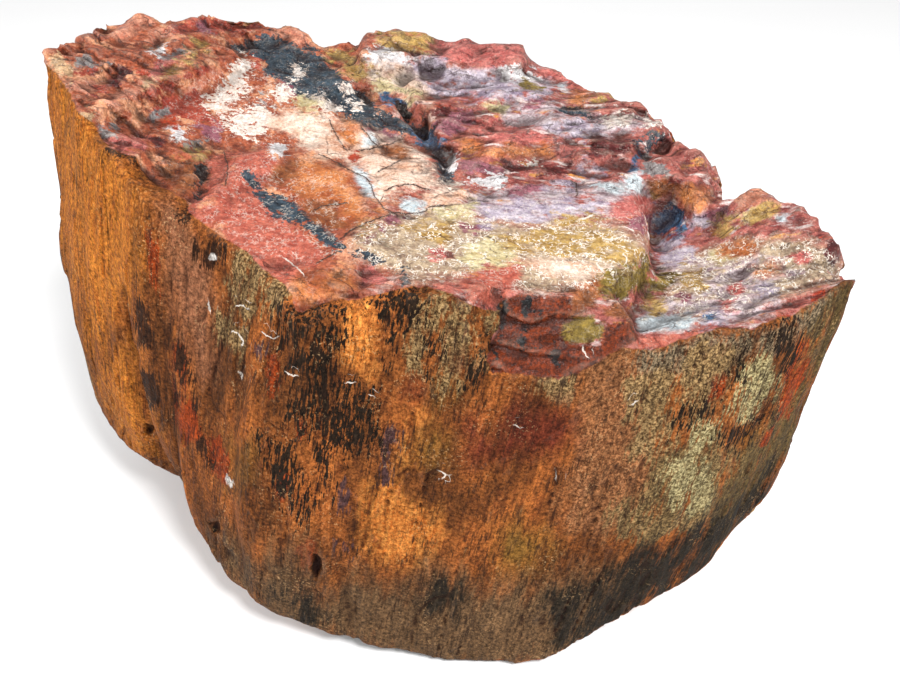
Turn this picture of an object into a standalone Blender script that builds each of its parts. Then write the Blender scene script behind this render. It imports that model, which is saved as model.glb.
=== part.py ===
"""Petrified wood: one broken block of a fossil log, resting on a small flat spot.

The top is the stepped, glassy face of a break across the log. The walls are the log's rind, whose
grain leans to one side, and the underside rounds in to the flat spot. All of it is one solid.
Lengths are millimetres in the block's own axes (+X right, +Y away from the front, +Z up), and
become metres when the mesh is made.
"""

import math

import bmesh
import bpy
import numpy as np
from mathutils import noise

NAME = "petrified_wood"
MM = 0.001

# Driving dimensions
BOX_MIDDLE = (-1.2, -1.6)
BELLY_HEIGHT = 85.0
FOOT_SINK = 1.2
CUTTER_WIDTH = 400.0
CUTTER_DEPTH = 40.0

# Mesh fineness
TOP_CELLS = 150
WALL_ROWS = 46
UNDER_ROWS = 14
TRIANGLES_KEPT = 9500

# Outline of the broken face, from the left corner towards the front
RIM = [
    (-127, 31), (-115, 16), (-108, 1), (-95, -14), (-82, -31), (-66, -37), (-57, -42), (-45, -53),
    (-32, -74), (-22, -68), (-6, -66), (6, -68), (18, -72), (21, -75), (39, -76), (52, -74),
    (62, -71), (74, -68), (85, -67), (97, -64), (112, -58), (125, -49), (133, -47), (124, -37),
    (132, -29), (127, -21), (119, -11), (110, -4), (99, -2), (93, 11), (86, 25), (80, 36),
    (65, 45), (52, 57), (39, 66), (35, 67), (10, 72), (-12, 77), (-25, 73), (-41, 72),
    (-49, 78), (-63, 80), (-81, 79), (-92, 72), (-98, 68), (-106, 69), (-114, 60), (-120, 48),
]

# Outline of the walls at BELLY_HEIGHT
BELLY = [
    (-139, 25), (-129, 4), (-116, -11), (-100, -27), (-84, -42), (-66, -56), (-45, -78),
    (-20, -76), (10, -78), (40, -79), (64, -76), (90, -71), (112, -59), (130, -46),
    (135, -31), (130, -6), (116, 14), (98, 33), (70, 52), (36, 68), (0, 76), (-36, 80),
    (-70, 82), (-98, 76), (-120, 62), (-133, 46),
]

# Lower edge of the walls, where the underside begins: x, y and height
EDGE = [
    (-138, 25, 52), (-133, 8, 38), (-126, -3, 31), (-112, -15, 32), (-100, -26, 40),
    (-91, -32, 60), (-85, -44, 31), (-74, -60, 21), (-58, -76, 18), (-32, -81, 11),
    (-6, -85, 4), (23, -88, 2), (50, -86, 3), (67, -76, 10), (85, -69, 14), (101, -62, 23),
    (116, -55, 38), (128, -44, 53), (129, -8, 50), (110, 18, 42), (82, 42, 36), (44, 60, 30),
    (4, 70, 26), (-36, 74, 26), (-76, 76, 32), (-108, 66, 42), (-131, 47, 52),
]

# Outline of the flat spot that the block rests on
FOOT = [
    (-34, -34), (-26, -56), (-4, -70), (26, -76), (44, -70), (48, -50), (48, -24),
    (38, 0), (20, 18), (-8, 20), (-28, 12), (-38, -8),
]

# Turns over which the corners of the outlines below the rim are rounded
CORNER_TURNS = np.radians(np.linspace(-6.0, 6.0, 9))

# Heights of the broken face, before its ledges
FACE_HEIGHTS = [
    (-97, 18, 162), (-87, 31, 162), (-67, 63, 164.5), (-108, 1, 167), (-95, -14, 163),
    (-82, -31, 158), (-66, -37, 152), (-45, -53, 147.5), (-32, -74, 143), (-6, -66, 147),
    (18, -72, 146), (58, -60, 142.5), (76, -15, 144), (96, 5, 144), (89, 27, 150),
    (65, 45, 154), (39, 63, 157), (10, 74, 160), (-12, 77, 163), (-25, 71, 165),
    (-41, 70, 165), (-49, 78, 169.5), (-63, 80, 171), (-81, 78, 173), (-50, -18, 151.5),
    (-20, -10, 150.5), (-30, 25, 154), (5, -20, 148.5), (-12, 20, 151.5), (-34, 50, 160),
    (30, -15, 146.5), (20, -45, 145.5), (0, -40, 147), (30, 5, 147.5), (60, 2, 146.5),
    (30, 30, 151), (-2, 48, 156), (60, 25, 149), (-80, 2, 159), (-55, 40, 158.5),
    (118, -10, 152), (135, -38, 149),
]

# Heights of the low terrace at the right
TERRACE_HEIGHTS = [
    (75, -33, 129), (84, -23, 130), (98, -22, 132), (67, -66, 130), (91, -51, 132),
    (115, -45, 134), (131, -46, 137.5), (133, -28, 140), (126, -21, 141.8), (118, -12, 143.4),
    (108, -8, 144.3), (106, -20, 137), (102, -4, 141), (82, -8, 129.5), (74, -68, 130.5),
    (97, -64, 132.5),
]
TERRACE = [
    (76, -6), (74, -25), (73, -40), (67, -49), (60, -58), (63, -66), (64, -84), (150, -80),
    (150, 10), (104, 10), (97, -3), (91, -13), (84, -4), (78, -2),
]

# Slabs that stand proud of the face: outline, then x, y and height of a point, slope along x and y
SLABS = {
    "left_shelf": ([(-97, 8), (-88, 22), (-80, 33), (-72, 42), (-67, 54), (-72, 66), (-82, 90),
                    (-150, 90), (-150, 0), (-112, -6), (-103, 2)], (-85, 28, 168), (-0.165, 0.09)),
    "corner_block": ([(-112, 51), (-98, 54), (-95, 62), (-97, 80), (-118, 80)],
                     (-105, 62, 174), (0.05, 0.08)),
    "corner_spike": ([(-105, 63), (-102, 62), (-101, 66), (-105, 67)], (-103, 64, 179), (0, 0)),
    "coral_shelf": ([(-62, -2), (-48, 4), (-44, -4), (-52, -14), (-60, -28), (-66, -34),
                     (-70, -24), (-66, -10)], (-56, -8, 155.5), (-0.05, 0.08)),
    "back_cap": ([(-23, 56), (-21, 90), (3, 90), (5, 62), (0, 54)], (-10, 66, 167.5), (0, 0.10)),
    "back_slab": ([(2, 55), (3, 90), (37, 90), (38, 60), (36, 53), (22, 52), (10, 52)],
                  (19, 64, 167), (-0.01, 0.16)),
    "middle_plate": ([(1, 30), (5, 17), (12, 10), (25, 4), (34, 7), (49, 10), (53, 16), (51, 30),
                      (60, 60), (40, 80), (0, 64), (-5, 46)], (25, 4, 152.5), (-0.05, 0.155)),
    "middle_step": ([(12, 9), (12, -3), (28, -3), (49, -1), (56, 5), (52, 13), (30, 10)],
                    (20, -2, 149.2), (-0.07, 0.12)),
    "right_plate": ([(53, 4), (63, 8), (70, 10), (81, 21), (100, 27), (90, 50), (60, 62),
                     (50, 45), (50, 16)], (63, 8, 152), (0.01, 0.16)),
    "amber_block": ([(73, 2), (85, 4), (86, -2), (80, -6), (75, -4)], (79, 0, 145.5), (0, 0.1)),
    "post_near": ([(78, 6), (85, 6), (86, 13), (79, 14)], (82, 9, 148.5), (0, 0.1)),
    "post_far": ([(86, 9), (94, 10), (96, 20), (88, 20)], (90, 15, 151), (0, 0.1)),
    "orange_ledge": ([(84, -9), (91, -14), (104, -1), (102, 8), (88, 5)], (93, -3, 143.5),
                     (0.12, 0.15)),
}

# Pieces broken away below the face: outline, point and slopes as above
BREAKS = {
    "front_recess": ([(21, -62), (30, -61), (46, -62), (57, -58), (65, -63), (68, -90), (18, -90)],
                     (40, -62, 145.0), (0.0, 1.32)),
    "amber_chip": ([(47, -60), (56, -49), (67, -46), (72, -52), (68, -66), (52, -66)],
                   (58, -56, 140.5), (-0.25, 0.45)),
    "front_corner_chip": ([(-31, -60), (-14, -53), (-4, -55), (-5, -70), (-32, -80)],
                          (-18, -62, 144.2), (0.03, 0.30)),
    "left_step": ([(-84, -4), (-70, 0), (-60, -4), (-64, -24), (-74, -34), (-86, -22)],
                  (-74, -14, 156), (-0.15, 0.10)),
    "plate_edge": ([(-92, 4), (-72, 2), (-58, 4), (-60, 8), (-90, 12)], (-74, 6, 158.6),
                   (-0.12, 0.0)),
}

# Clefts that run across the face: points, depth and half-width
CLEFTS = [
    ([(-22, 45), (-11, 42), (-5, 36), (-1, 29), (2, 23)], 6.0, 4.0),
    ([(9, 13), (8, 2), (9, -7)], 4.5, 2.6),
    ([(-68, -9), (-67, -18)], 3.5, 3.0),
    ([(-72, 60), (-66, 68), (-52, 70)], 2.5, 4.0),
    ([(-12, 14), (-8, 2), (-14, -10)], 1.2, 2.0),
    ([(78, -9), (80, -16)], 2.5, 4.0),
]

# Stretches of the face that broke smooth
SMOOTH_ZONES = [
    [(-95, 16), (-76, 44), (-60, 74), (-40, 45), (-46, 12), (-82, 8)],
    [(-62, -6), (-66, -36), (-44, -48), (-12, -48), (-14, -4), (-46, 0)],
    [(12, -6), (73, -4), (72, -44), (52, -58), (-8, -60), (-6, -24)],
    [(78, -20), (78, -40), (108, -30), (100, -18)],
]

# Stretches that broke in stairs along their contours: outline and the height of a stair
STAIR_ZONES = [
    ([(-4, 60), (4, 12), (50, 2), (72, 4), (84, 18), (104, 24), (60, 70), (10, 84)], 3.4),
    ([(-104, 8), (-84, 10), (-60, 0), (-60, -34), (-90, -44), (-130, 0)], 3.6),
    ([(-24, 60), (-45, 70), (-90, 70), (-90, 95), (-20, 95)], 4.0),
]

# The ledges of the left shelf: direction, distance from one to the next, height and the wobble
# of their lines, then the share of the pitch that each riser takes and how far each tread sinks
SHELF_LEDGE_TURN = math.radians(53)
SHELF_LEDGE_PITCH = 9.0
SHELF_LEDGE_RISE = 3.2
SHELF_LEDGE_WOBBLE = 3.5
SHELF_RISER_SHARE = 0.16
SHELF_TREAD_SINK = 0.6

# Steepness of the broken edges, in height for each millimetre across
SLAB_STEEPNESS = 3.0
BREAK_STEEPNESS = 3.5

# Irregularity of the face: how far its outlines wander, the relief left in its smooth stretches,
# the blend at their borders, and the heights of its facets and swells
EDGE_WANDER = 2.2
SMOOTH_RELIEF = 0.10
ZONE_BLEND = 6.0
LARGE_CHIP_RELIEF = 1.9
SMALL_CHIP_RELIEF = 0.45
SWELL_RELIEF = 0.8
LEFT_CHIP_TURN = math.radians(50)
RIGHT_CHIP_TURN = math.radians(24)
SMALL_CHIP_TURN = math.radians(35)

# A stair's tread keeps part of the slope, and its riser takes the last share of the step
TREAD_SLOPE = 0.35
RISER_START = 0.72
STAIR_WOBBLE = 3.0
STAIR_FINE_WOBBLE = 0.6

# Relief of the walls. The front, between these distances along the rim, is worn smoother, and the
# stretch past HIDDEN_START is flaked
FRONT_RUN = (160.0, 305.0)
HIDDEN_START = 315.0
RUN_BLEND = 18.0
GRAIN_STRETCH = 0.16
RIB_RELIEF = 2.4
FRONT_RIB_RELIEF = 1.4
FLUTE_RELIEF = 1.2
FRONT_FLUTE_RELIEF = 0.7
FLAKE_RELIEF = 0.3
HIDDEN_FLAKE_RELIEF = 1.9
WALL_SWELL_RELIEF = 1.0
UNDER_FLAKE_RELIEF = 3.0
UNDER_SWELL_RELIEF = 2.5
UNDER_FULLNESS = 0.22
RIM_FADE = 0.10

# Grooves of the walls: distance along the rim from the left corner, height at the upper and lower
# end, half-width and depth
GROOVES = [
    (66, 128, 20, 6.5, 7.0),
    (40, 150, 60, 5.0, 1.6),
    (88, 112, 50, 4.5, 3.0),
    (100, 160, 90, 4.0, 1.8),
    (118, 130, 20, 5.0, 2.6),
    (137, 150, 60, 4.0, 2.0),
    (156, 62, 20, 4.0, 4.5),
    (345, 135, 40, 7.0, 4.0),
    (392, 150, 40, 9.0, 5.0),
    (452, 160, 30, 8.0, 4.5),
    (520, 165, 30, 10.0, 5.0),
    (575, 170, 40, 7.0, 4.0),
]

# Pits of the walls: distance along the rim, height, radius and depth
PITS = [
    (62, 42, 6.0, 5.0), (113, 33, 5.0, 4.0), (72, 96, 4.0, 3.0), (67, 66, 4.0, 3.0),
    (158, 43, 4.0, 3.5), (470, 84, 12.0, 4.0), (405, 62, 14.0, 4.5), (545, 110, 12.0, 4.0),
]

ROCK_COLOUR = (0.42, 0.17, 0.07, 1.0)
ROCK_ROUGHNESS = 0.55


def clear_scene():
    for obj in list(bpy.data.objects):
        bpy.data.objects.remove(obj, do_unlink=True)


def new_collection(name):
    collection = bpy.data.collections.new(name)
    bpy.context.scene.collection.children.link(collection)
    return collection


def rock_material():
    material = bpy.data.materials.new(NAME)
    material.use_nodes = True
    shader = material.node_tree.nodes["Principled BSDF"]
    shader.inputs["Base Color"].default_value = ROCK_COLOUR
    shader.inputs["Roughness"].default_value = ROCK_ROUGHNESS
    shader.inputs["Metallic"].default_value = 0.0
    return material


# Helpers on arrays of points in the plane


def smooth_step(value):
    value = np.clip(value, 0.0, 1.0)
    return value * value * (3.0 - 2.0 * value)


def mix(start, end, share):
    return start + share * (end - start)


def segment_distance(points, start, end):
    along = np.subtract(end, start)
    share = np.clip((points - start) @ along / (along @ along), 0.0, 1.0)
    return np.linalg.norm(points - start - share[:, None] * along, axis=1)


def line_distance(points, line):
    return np.min([segment_distance(points, a, b) for a, b in zip(line, line[1:])], axis=0)


def outside(points, outline):
    """Distance to a closed outline, negative inside it."""
    closed = [np.array(p, float) for p in outline + outline[:1]]
    distance = line_distance(points, closed)
    inside = np.zeros(len(points), bool)
    x, y = points.T
    for (ax, ay), (bx, by) in zip(closed, closed[1:]):
        if ay == by:
            continue
        crosses = ((ay > y) != (by > y)) & (x < ax + (y - ay) * (bx - ax) / (by - ay))
        inside ^= crosses
    return np.where(inside, -distance, distance)


def ripple(points, size, seed):
    """Smooth noise about zero with bumps of the given size, one value for each point."""
    return np.array([noise.noise((x / size, y / size, seed)) for x, y in points])


def chips(points, size, seed, turn=0.0, stretch=1.0):
    """Tilted facets about zero, of the given size, drawn out along the direction of turn."""
    cos, sin = math.cos(turn), math.sin(turn)
    values = []
    for x, y in points:
        u = (x * cos + y * sin) / (size * stretch)
        v = (y * cos - x * sin) / size
        seed_point = noise.voronoi((u, v, seed))[1][0]
        lift, tilt_u, tilt_v = noise.cell_vector(seed_point * 7.0)
        tilt = (tilt_u - 0.5) * (u - seed_point.x) + (tilt_v - 0.5) * (v - seed_point.y)
        values.append(lift - 0.5 + 2.0 * tilt)
    return np.array(values)


def thin_plate(controls):
    """The smoothest surface through control points (x, y, height), as a function of points."""
    controls = np.array(controls, float)
    anchors, heights = controls[:, :2], controls[:, 2]

    def kernel(points):
        square = ((points[:, None] - anchors) ** 2).sum(2)
        return square * np.log(square + 1e-9)

    def plane(points):
        return np.column_stack([np.ones(len(points)), points])

    count = len(anchors)
    system = np.zeros((count + 3, count + 3))
    system[:count, :count] = kernel(anchors)
    system[:count, count:] = plane(anchors)
    system[count:, :count] = plane(anchors).T
    weights = np.linalg.solve(system, np.append(heights, np.zeros(3)))
    return lambda points: kernel(points) @ weights[:count] + plane(points) @ weights[count:]


# The broken face


def slope_plane(points, at, slope):
    return at[2] + (points - at[:2]) @ np.array(slope, float)


def shelf_ledges(points):
    """Parallel ledges across the left shelf, each rising slowly and dropping to the right."""
    across = points @ np.array([-math.sin(SHELF_LEDGE_TURN), math.cos(SHELF_LEDGE_TURN)])
    across = across + SHELF_LEDGE_WOBBLE * ripple(points, 22.0, 4.1)
    share = np.mod(across / SHELF_LEDGE_PITCH, 1.0)
    riser = share / SHELF_RISER_SHARE
    tread = 1.0 - SHELF_TREAD_SINK * (share - SHELF_RISER_SHARE) / (1.0 - SHELF_RISER_SHARE)
    return SHELF_LEDGE_RISE * (np.minimum(riser, tread) - SHELF_TREAD_SINK)


def stairs(height, wobble, stair):
    """The height in stairs, each with a gentle tread and a steep riser."""
    level = (height + wobble) / stair
    share = level - np.floor(level)
    riser = smooth_step((share - RISER_START) / (1.0 - RISER_START))
    return stair * (np.floor(level) + TREAD_SLOPE * share + (1.0 - TREAD_SLOPE) * riser) - wobble


def roughness(points):
    """1 where the face broke rough, and SMOOTH_RELIEF in its smooth stretches."""
    rough = np.ones(len(points))
    for zone in SMOOTH_ZONES:
        share = smooth_step(0.5 + outside(points, zone) / ZONE_BLEND)
        rough *= SMOOTH_RELIEF + (1.0 - SMOOTH_RELIEF) * share
    return rough


def slabs_and_breaks(points, bent):
    """The face with its slabs raised and its breaks and its terrace cut away."""
    height = thin_plate(FACE_HEIGHTS)(points)
    for outline, at, slope in SLABS.values():
        edge = np.maximum(outside(bent, outline), 0.0)
        height = np.maximum(height, slope_plane(points, at, slope) - SLAB_STEEPNESS * edge)
    on_shelf = smooth_step(-outside(bent, SLABS["left_shelf"][0]) / 3.0)
    height += on_shelf * shelf_ledges(bent)
    for outline, at, slope in BREAKS.values():
        edge = np.maximum(outside(bent, outline), 0.0)
        height = np.minimum(height, slope_plane(points, at, slope) + BREAK_STEEPNESS * edge)
    edge = np.maximum(outside(bent, TERRACE), 0.0)
    return np.minimum(height, thin_plate(TERRACE_HEIGHTS)(points) + BREAK_STEEPNESS * edge)


def face_height(points):
    wander = np.column_stack([ripple(points, 9.0, 1.3), ripple(points, 9.0, 5.7)])
    bent = points + EDGE_WANDER * wander
    rough = roughness(bent)
    height = slabs_and_breaks(points, bent)
    right_side = smooth_step((points[:, 0] + 15.0) / 30.0)
    left_chips = chips(bent, 14.0, 2.0, turn=LEFT_CHIP_TURN, stretch=1.8)
    right_chips = chips(bent, 13.0, 2.0, turn=RIGHT_CHIP_TURN, stretch=2.2)
    large_chips = left_chips + right_side * (right_chips - left_chips)
    height += rough * LARGE_CHIP_RELIEF * large_chips
    wobble = STAIR_WOBBLE * ripple(points, 20.0, 21.0)
    wobble += STAIR_FINE_WOBBLE * ripple(points, 7.0, 25.0)
    for zone, stair in STAIR_ZONES:
        share = smooth_step(0.5 - outside(points, zone) / ZONE_BLEND)
        height += share * (stairs(height, wobble, stair) - height)
    height += rough * SMALL_CHIP_RELIEF * chips(bent, 7.0, 9.0, turn=SMALL_CHIP_TURN, stretch=1.5)
    height += SWELL_RELIEF * ripple(points, 30.0, 8.0)
    for line, depth, half_width in CLEFTS:
        height -= depth * smooth_step(1.0 - line_distance(bent, line) / half_width)
    return height


# The walls and the underside


def wrap(angles):
    return np.mod(angles + math.pi, 2.0 * math.pi) - math.pi


def ring_points(ring, angles):
    """Points where rays at the given angles meet a closed ring, in two or three columns."""
    ring = np.array(ring, float)
    turn = np.arctan2(ring[:, 1], ring[:, 0])
    ring = ring[np.argsort(turn)]
    turn = np.sort(turn)
    after = np.searchsorted(turn, angles, side="right") % len(ring)
    a, b = ring[after - 1], ring[after]
    ray = np.column_stack([np.cos(angles), np.sin(angles)])
    side_a = a[:, 0] * ray[:, 1] - a[:, 1] * ray[:, 0]
    side_b = b[:, 0] * ray[:, 1] - b[:, 1] * ray[:, 0]
    share = (side_a / (side_a - side_b))[:, None]
    return a + share * (b - a)


def rounded_ring(ring, angles):
    """As ring_points, with the ring's corners rounded over a few degrees to each side."""
    turned = np.array([ring_points(ring, wrap(angles + turn)) for turn in CORNER_TURNS])
    reach = np.hypot(turned[:, :, 0], turned[:, :, 1]).mean(axis=0)
    height = turned[:, :, 2:].mean(axis=0)
    return np.column_stack([reach * np.cos(angles), reach * np.sin(angles), height])


def rim_distance(angles):
    """Distance along the rim from its left corner, towards the front, at the given angles."""
    ring = np.array(RIM + RIM[:1], float)
    run = np.append(0.0, np.cumsum(np.linalg.norm(np.diff(ring, axis=0), axis=1)))
    turn = np.unwrap(np.arctan2(ring[:, 1], ring[:, 0]))
    turned = turn[0] + np.mod(angles - turn[0], 2.0 * math.pi)
    return np.interp(turned, turn, run)


def wall_relief(along, height):
    """How far the wall stands out, from its ribs, grooves, flakes and pits."""
    grain = np.column_stack([along, height * GRAIN_STRETCH])
    hidden = smooth_step((along - HIDDEN_START) / RUN_BLEND)
    front = smooth_step((along - FRONT_RUN[0]) / RUN_BLEND)
    front *= smooth_step((FRONT_RUN[1] - along) / RUN_BLEND)
    out = mix(RIB_RELIEF, FRONT_RIB_RELIEF, front) * ripple(grain, 17.0, 3.0)
    out += mix(FLUTE_RELIEF, FRONT_FLUTE_RELIEF, front) * ripple(grain, 7.0, 12.0)
    flakes = chips(np.column_stack([along, height * 0.35]), 17.0, 6.0)
    out += mix(FLAKE_RELIEF, HIDDEN_FLAKE_RELIEF, hidden) * flakes
    out += WALL_SWELL_RELIEF * ripple(np.column_stack([along, height]), 26.0, 14.0)
    for place, top, bottom, half_width, depth in GROOVES:
        sway = 2.5 * ripple(np.column_stack([height, np.full(len(height), place)]), 24.0, 1.0)
        ends = smooth_step((top - height) / 25.0) * smooth_step((height - bottom) / 12.0 + 1.0)
        width = half_width * (0.35 + 0.65 * ends)
        out -= depth * ends * smooth_step(1.0 - np.abs(along - place - sway) / width)
    for place, level, radius, depth in PITS:
        far = np.hypot(along - place, height - level)
        out -= depth * smooth_step(1.0 - far / radius)
    return out


def wall_points(angles, share):
    """Points on the walls, on smooth curves from rim to belly to lower edge, share 0 to 1."""
    rim = ring_points(RIM, angles)
    belly = rounded_ring(BELLY, angles)
    edge = rounded_ring(EDGE, angles)
    top, bottom = face_height(rim), edge[:, 2]
    height = mix(top, bottom, share)
    at_rim = (height - BELLY_HEIGHT) * (height - bottom) / ((top - BELLY_HEIGHT) * (top - bottom))
    at_belly = (height - top) * (height - bottom) / ((BELLY_HEIGHT - top) * (BELLY_HEIGHT - bottom))
    at_edge = 1.0 - at_rim - at_belly
    flat = at_rim[:, None] * rim + at_belly[:, None] * belly + at_edge[:, None] * edge[:, :2]
    return flat, height


def under_points(angles, share):
    """Points on the underside, from the walls' lower edge to the flat spot, share 0 to 1."""
    edge = rounded_ring(EDGE, angles)
    foot = rounded_ring(FOOT, angles)
    corner = mix(edge[:, :2], foot, 0.2)
    at_edge, at_corner, at_foot = (1 - share) ** 2, 2 * share * (1 - share), share ** 2
    flat = at_edge[:, None] * edge[:, :2] + at_corner[:, None] * corner + at_foot[:, None] * foot
    lumps = UNDER_FLAKE_RELIEF * chips(flat, 18.0, 31.0)
    lumps += UNDER_SWELL_RELIEF * ripple(flat, 22.0, 33.0)
    corner_height = UNDER_FULLNESS * edge[:, 2] + lumps + 1.0
    height = at_edge * edge[:, 2] + at_corner * corner_height - at_foot * FOOT_SINK
    return flat, height


# The block's mesh


def disc_place(square):
    """Carries the square from -1 to 1 onto the unit disc: radius and angle of each point."""
    a, b = square.T
    wide = np.abs(a) >= np.abs(b)
    radius = np.where(wide, np.abs(a), np.abs(b))
    with np.errstate(divide="ignore", invalid="ignore"):
        flat_turn = np.where(a >= 0, 0.0, math.pi) + math.pi / 4 * b / a
        tall_turn = np.where(b >= 0, 0.5, 1.5) * math.pi - math.pi / 4 * a / b
    angle = np.where(wide, flat_turn, tall_turn)
    angle = np.where(radius < 1e-6, 0.0, angle)
    return radius, wrap(angle)


def cage():
    """A flat grid with rows of faces hung from its border; z counts the rows from 0 downwards."""
    mesh = bmesh.new()
    bmesh.ops.create_grid(mesh, x_segments=TOP_CELLS, y_segments=TOP_CELLS, size=1.0)
    for row in range(WALL_ROWS + UNDER_ROWS):
        border = [edge for edge in mesh.edges if edge.is_boundary]
        hung = bmesh.ops.extrude_edge_only(mesh, edges=border)["geom"]
        for vert in hung:
            if isinstance(vert, bmesh.types.BMVert):
                vert.co.z = -(row + 1)
    border = [edge for edge in mesh.edges if edge.is_boundary]
    bmesh.ops.contextual_create(mesh, geom=border)
    bmesh.ops.triangulate(mesh, faces=[face for face in mesh.faces if len(face.verts) > 4])
    bmesh.ops.recalc_face_normals(mesh, faces=mesh.faces)
    return mesh


def stood_out(flat, height, relief):
    """Points moved straight out from the block's axis by their relief."""
    outward = flat / np.linalg.norm(flat, axis=1)[:, None]
    return np.column_stack([flat + relief[:, None] * outward, height])


def shaped(cage_points):
    """Carries the cage's points, in their rows, onto the block."""
    radius, angle = disc_place(cage_points[:, :2])
    row = -np.round(cage_points[:, 2])
    out = np.zeros((len(cage_points), 3))

    top = row == 0
    out[top, :2] = radius[top][:, None] * ring_points(RIM, angle[top])
    out[top, 2] = face_height(out[top, :2])

    wall = (row > 0) & (row <= WALL_ROWS)
    share = row[wall] / WALL_ROWS
    flat, height = wall_points(angle[wall], share)
    relief = smooth_step(share / RIM_FADE) * wall_relief(rim_distance(angle[wall]), height)
    out[wall] = stood_out(flat, height, relief)

    under = row > WALL_ROWS
    share = (row[under] - WALL_ROWS) / UNDER_ROWS
    flat, height = under_points(angle[under], share)
    relief = (1.0 - smooth_step(share)) * wall_relief(rim_distance(angle[under]), height)
    out[under] = stood_out(flat, height, relief)
    return out


def rest_cutter(cutters):
    """A slab below the rest plane, which takes the flat spot off the underside."""
    bpy.ops.mesh.primitive_cube_add(size=1.0)
    cutter = bpy.context.object
    cutter.name = "rest_cutter"
    for vert in cutter.data.vertices:
        vert.co.x *= CUTTER_WIDTH * MM
        vert.co.y *= CUTTER_WIDTH * MM
        vert.co.z = (vert.co.z - 0.5) * CUTTER_DEPTH * MM
    for holder in list(cutter.users_collection):
        holder.objects.unlink(cutter)
    cutters.objects.link(cutter)
    cutter.hide_render = True
    cutter.display_type = "WIRE"
    return cutter


def build_block(collection, cutters):
    mesh = cage()
    mesh.verts.ensure_lookup_table()
    points = shaped(np.array([vert.co for vert in mesh.verts]))
    for vert, (x, y, z) in zip(mesh.verts, points):
        vert.co = ((x - BOX_MIDDLE[0]) * MM, (y - BOX_MIDDLE[1]) * MM, z * MM)
    triangles = sum(len(face.verts) - 2 for face in mesh.faces)
    data = bpy.data.meshes.new(NAME)
    mesh.to_mesh(data)
    mesh.free()
    block = bpy.data.objects.new(NAME, data)
    data.materials.append(rock_material())
    collection.objects.link(block)

    thin = block.modifiers.new("fewer_faces", "DECIMATE")
    thin.ratio = TRIANGLES_KEPT / triangles
    thin.use_collapse_triangulate = True
    cut = block.modifiers.new("flat_spot", "BOOLEAN")
    cut.operation = "DIFFERENCE"
    cut.object = rest_cutter(cutters)
    return block


def main():
    clear_scene()
    part = new_collection(NAME)
    cutters = new_collection("cutters")
    build_block(part, cutters)


main()
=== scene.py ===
"""Looks of the petrified wood: a detailed block in place of the plain solid, floor, light, camera.

Lengths are metres in Blender and millimetres in the block's own axes, where the relief is shaped.
Marks that the photograph shows are outlines in its 900 x 675 frame, carried onto the block along
the camera's lines of sight. Everything else is procedural.
"""

import math

import bpy
import numpy as np
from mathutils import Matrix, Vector
from mathutils.bvhtree import BVHTree


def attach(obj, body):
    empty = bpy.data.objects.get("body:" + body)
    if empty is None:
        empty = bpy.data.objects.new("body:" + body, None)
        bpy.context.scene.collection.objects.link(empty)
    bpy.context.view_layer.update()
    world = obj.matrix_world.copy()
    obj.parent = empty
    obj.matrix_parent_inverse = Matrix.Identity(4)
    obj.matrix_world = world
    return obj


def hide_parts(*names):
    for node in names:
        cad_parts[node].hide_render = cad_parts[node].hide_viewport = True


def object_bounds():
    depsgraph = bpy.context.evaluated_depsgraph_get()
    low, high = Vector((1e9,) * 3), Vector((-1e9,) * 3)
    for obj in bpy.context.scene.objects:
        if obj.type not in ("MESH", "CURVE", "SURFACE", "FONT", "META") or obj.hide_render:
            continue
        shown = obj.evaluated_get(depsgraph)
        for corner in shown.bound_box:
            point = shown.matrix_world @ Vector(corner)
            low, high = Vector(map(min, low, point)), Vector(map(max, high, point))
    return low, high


NODE = "petrified_wood"
MM = 0.001

# The frame's origin, in the block's own axes and millimetres
FRAME_ORIGIN = np.array([-1.2, -1.6, 0.0])

# Camera of the photograph, in the block's own axes
EYE = np.array([10.0, -279.0, 297.0])
LOOK_DOWN = math.radians(38.0)
FOCAL_PIXELS = 950.0
IMAGE_SIZE = (900, 675)
SENSOR_WIDTH = 36.0

# Directions of the old wood: the fibres' lean to the side for each millimetre of height, the
# slant of the layers on the face, and where and over what length the layers bend
GRAIN_LEAN = 0.165
LAYER_SLANT = 0.45
LAYER_BEND = 0.40
BEND_START = 20.0
BEND_LENGTH = 15.0

# Depth of the small holes in the walls
HOLE_DEPTH = 2.2

# Reach of the marks' values round their outlines, in pixels, and a pixel's size on the block
PIXEL_REACH = 26.0
PIXEL_MM = 0.38
LINE_REACH = 9.0

# Depth under the rim at which the wall begins, its fade, and the depths between which it counts
RIM_DEPTH = 2.0
RIM_FADE = 1.6
LEAST_DEPTH = -9.0
MOST_DEPTH = 12.0
NOWHERE = 99.0

# Marks that stay broken all over: the most that their inside distance counts, in millimetres
COVER = {"frost": 2.0, "white": 2.6, "navy": 4.0, "soot": 1.2, "haze": 1.6, "underside_shade": 2.5, "beige": 2.0,
         "lichen": 2.6, "sage": 3.0, "umber": 1.2, "rust": 1.6, "plum": 1.6, "lavender": 2.2, "cream": 2.2,
         "yellow": 1.8, "mauve": 3.0, "ash": 2.5, "shaded_drab": 3.0, "grey": 1.6, "salmon": 3.5}

# Marks on the unseen sides: their size in millimetres and how rare they are
UNSEEN_MARKS = {"rust": (12.0, 0.55), "umber": (14.0, 0.62), "soot": (26.0, 0.45),
                "lit_honey": (40.0, 0.15), "oxblood": (30.0, 0.55), "lichen": (24.0, 0.75),
                "beige": (30.0, 0.60), "damp_and_shade": (45.0, 0.55),
                "maroon": (9.0, 0.6), "navy": (12.0, 0.8), "yellow": (10.0, 0.6)}

# Share of a screen colour that the paint carries, as the light is stronger than full white
PAINT_SHARE = 0.86

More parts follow.
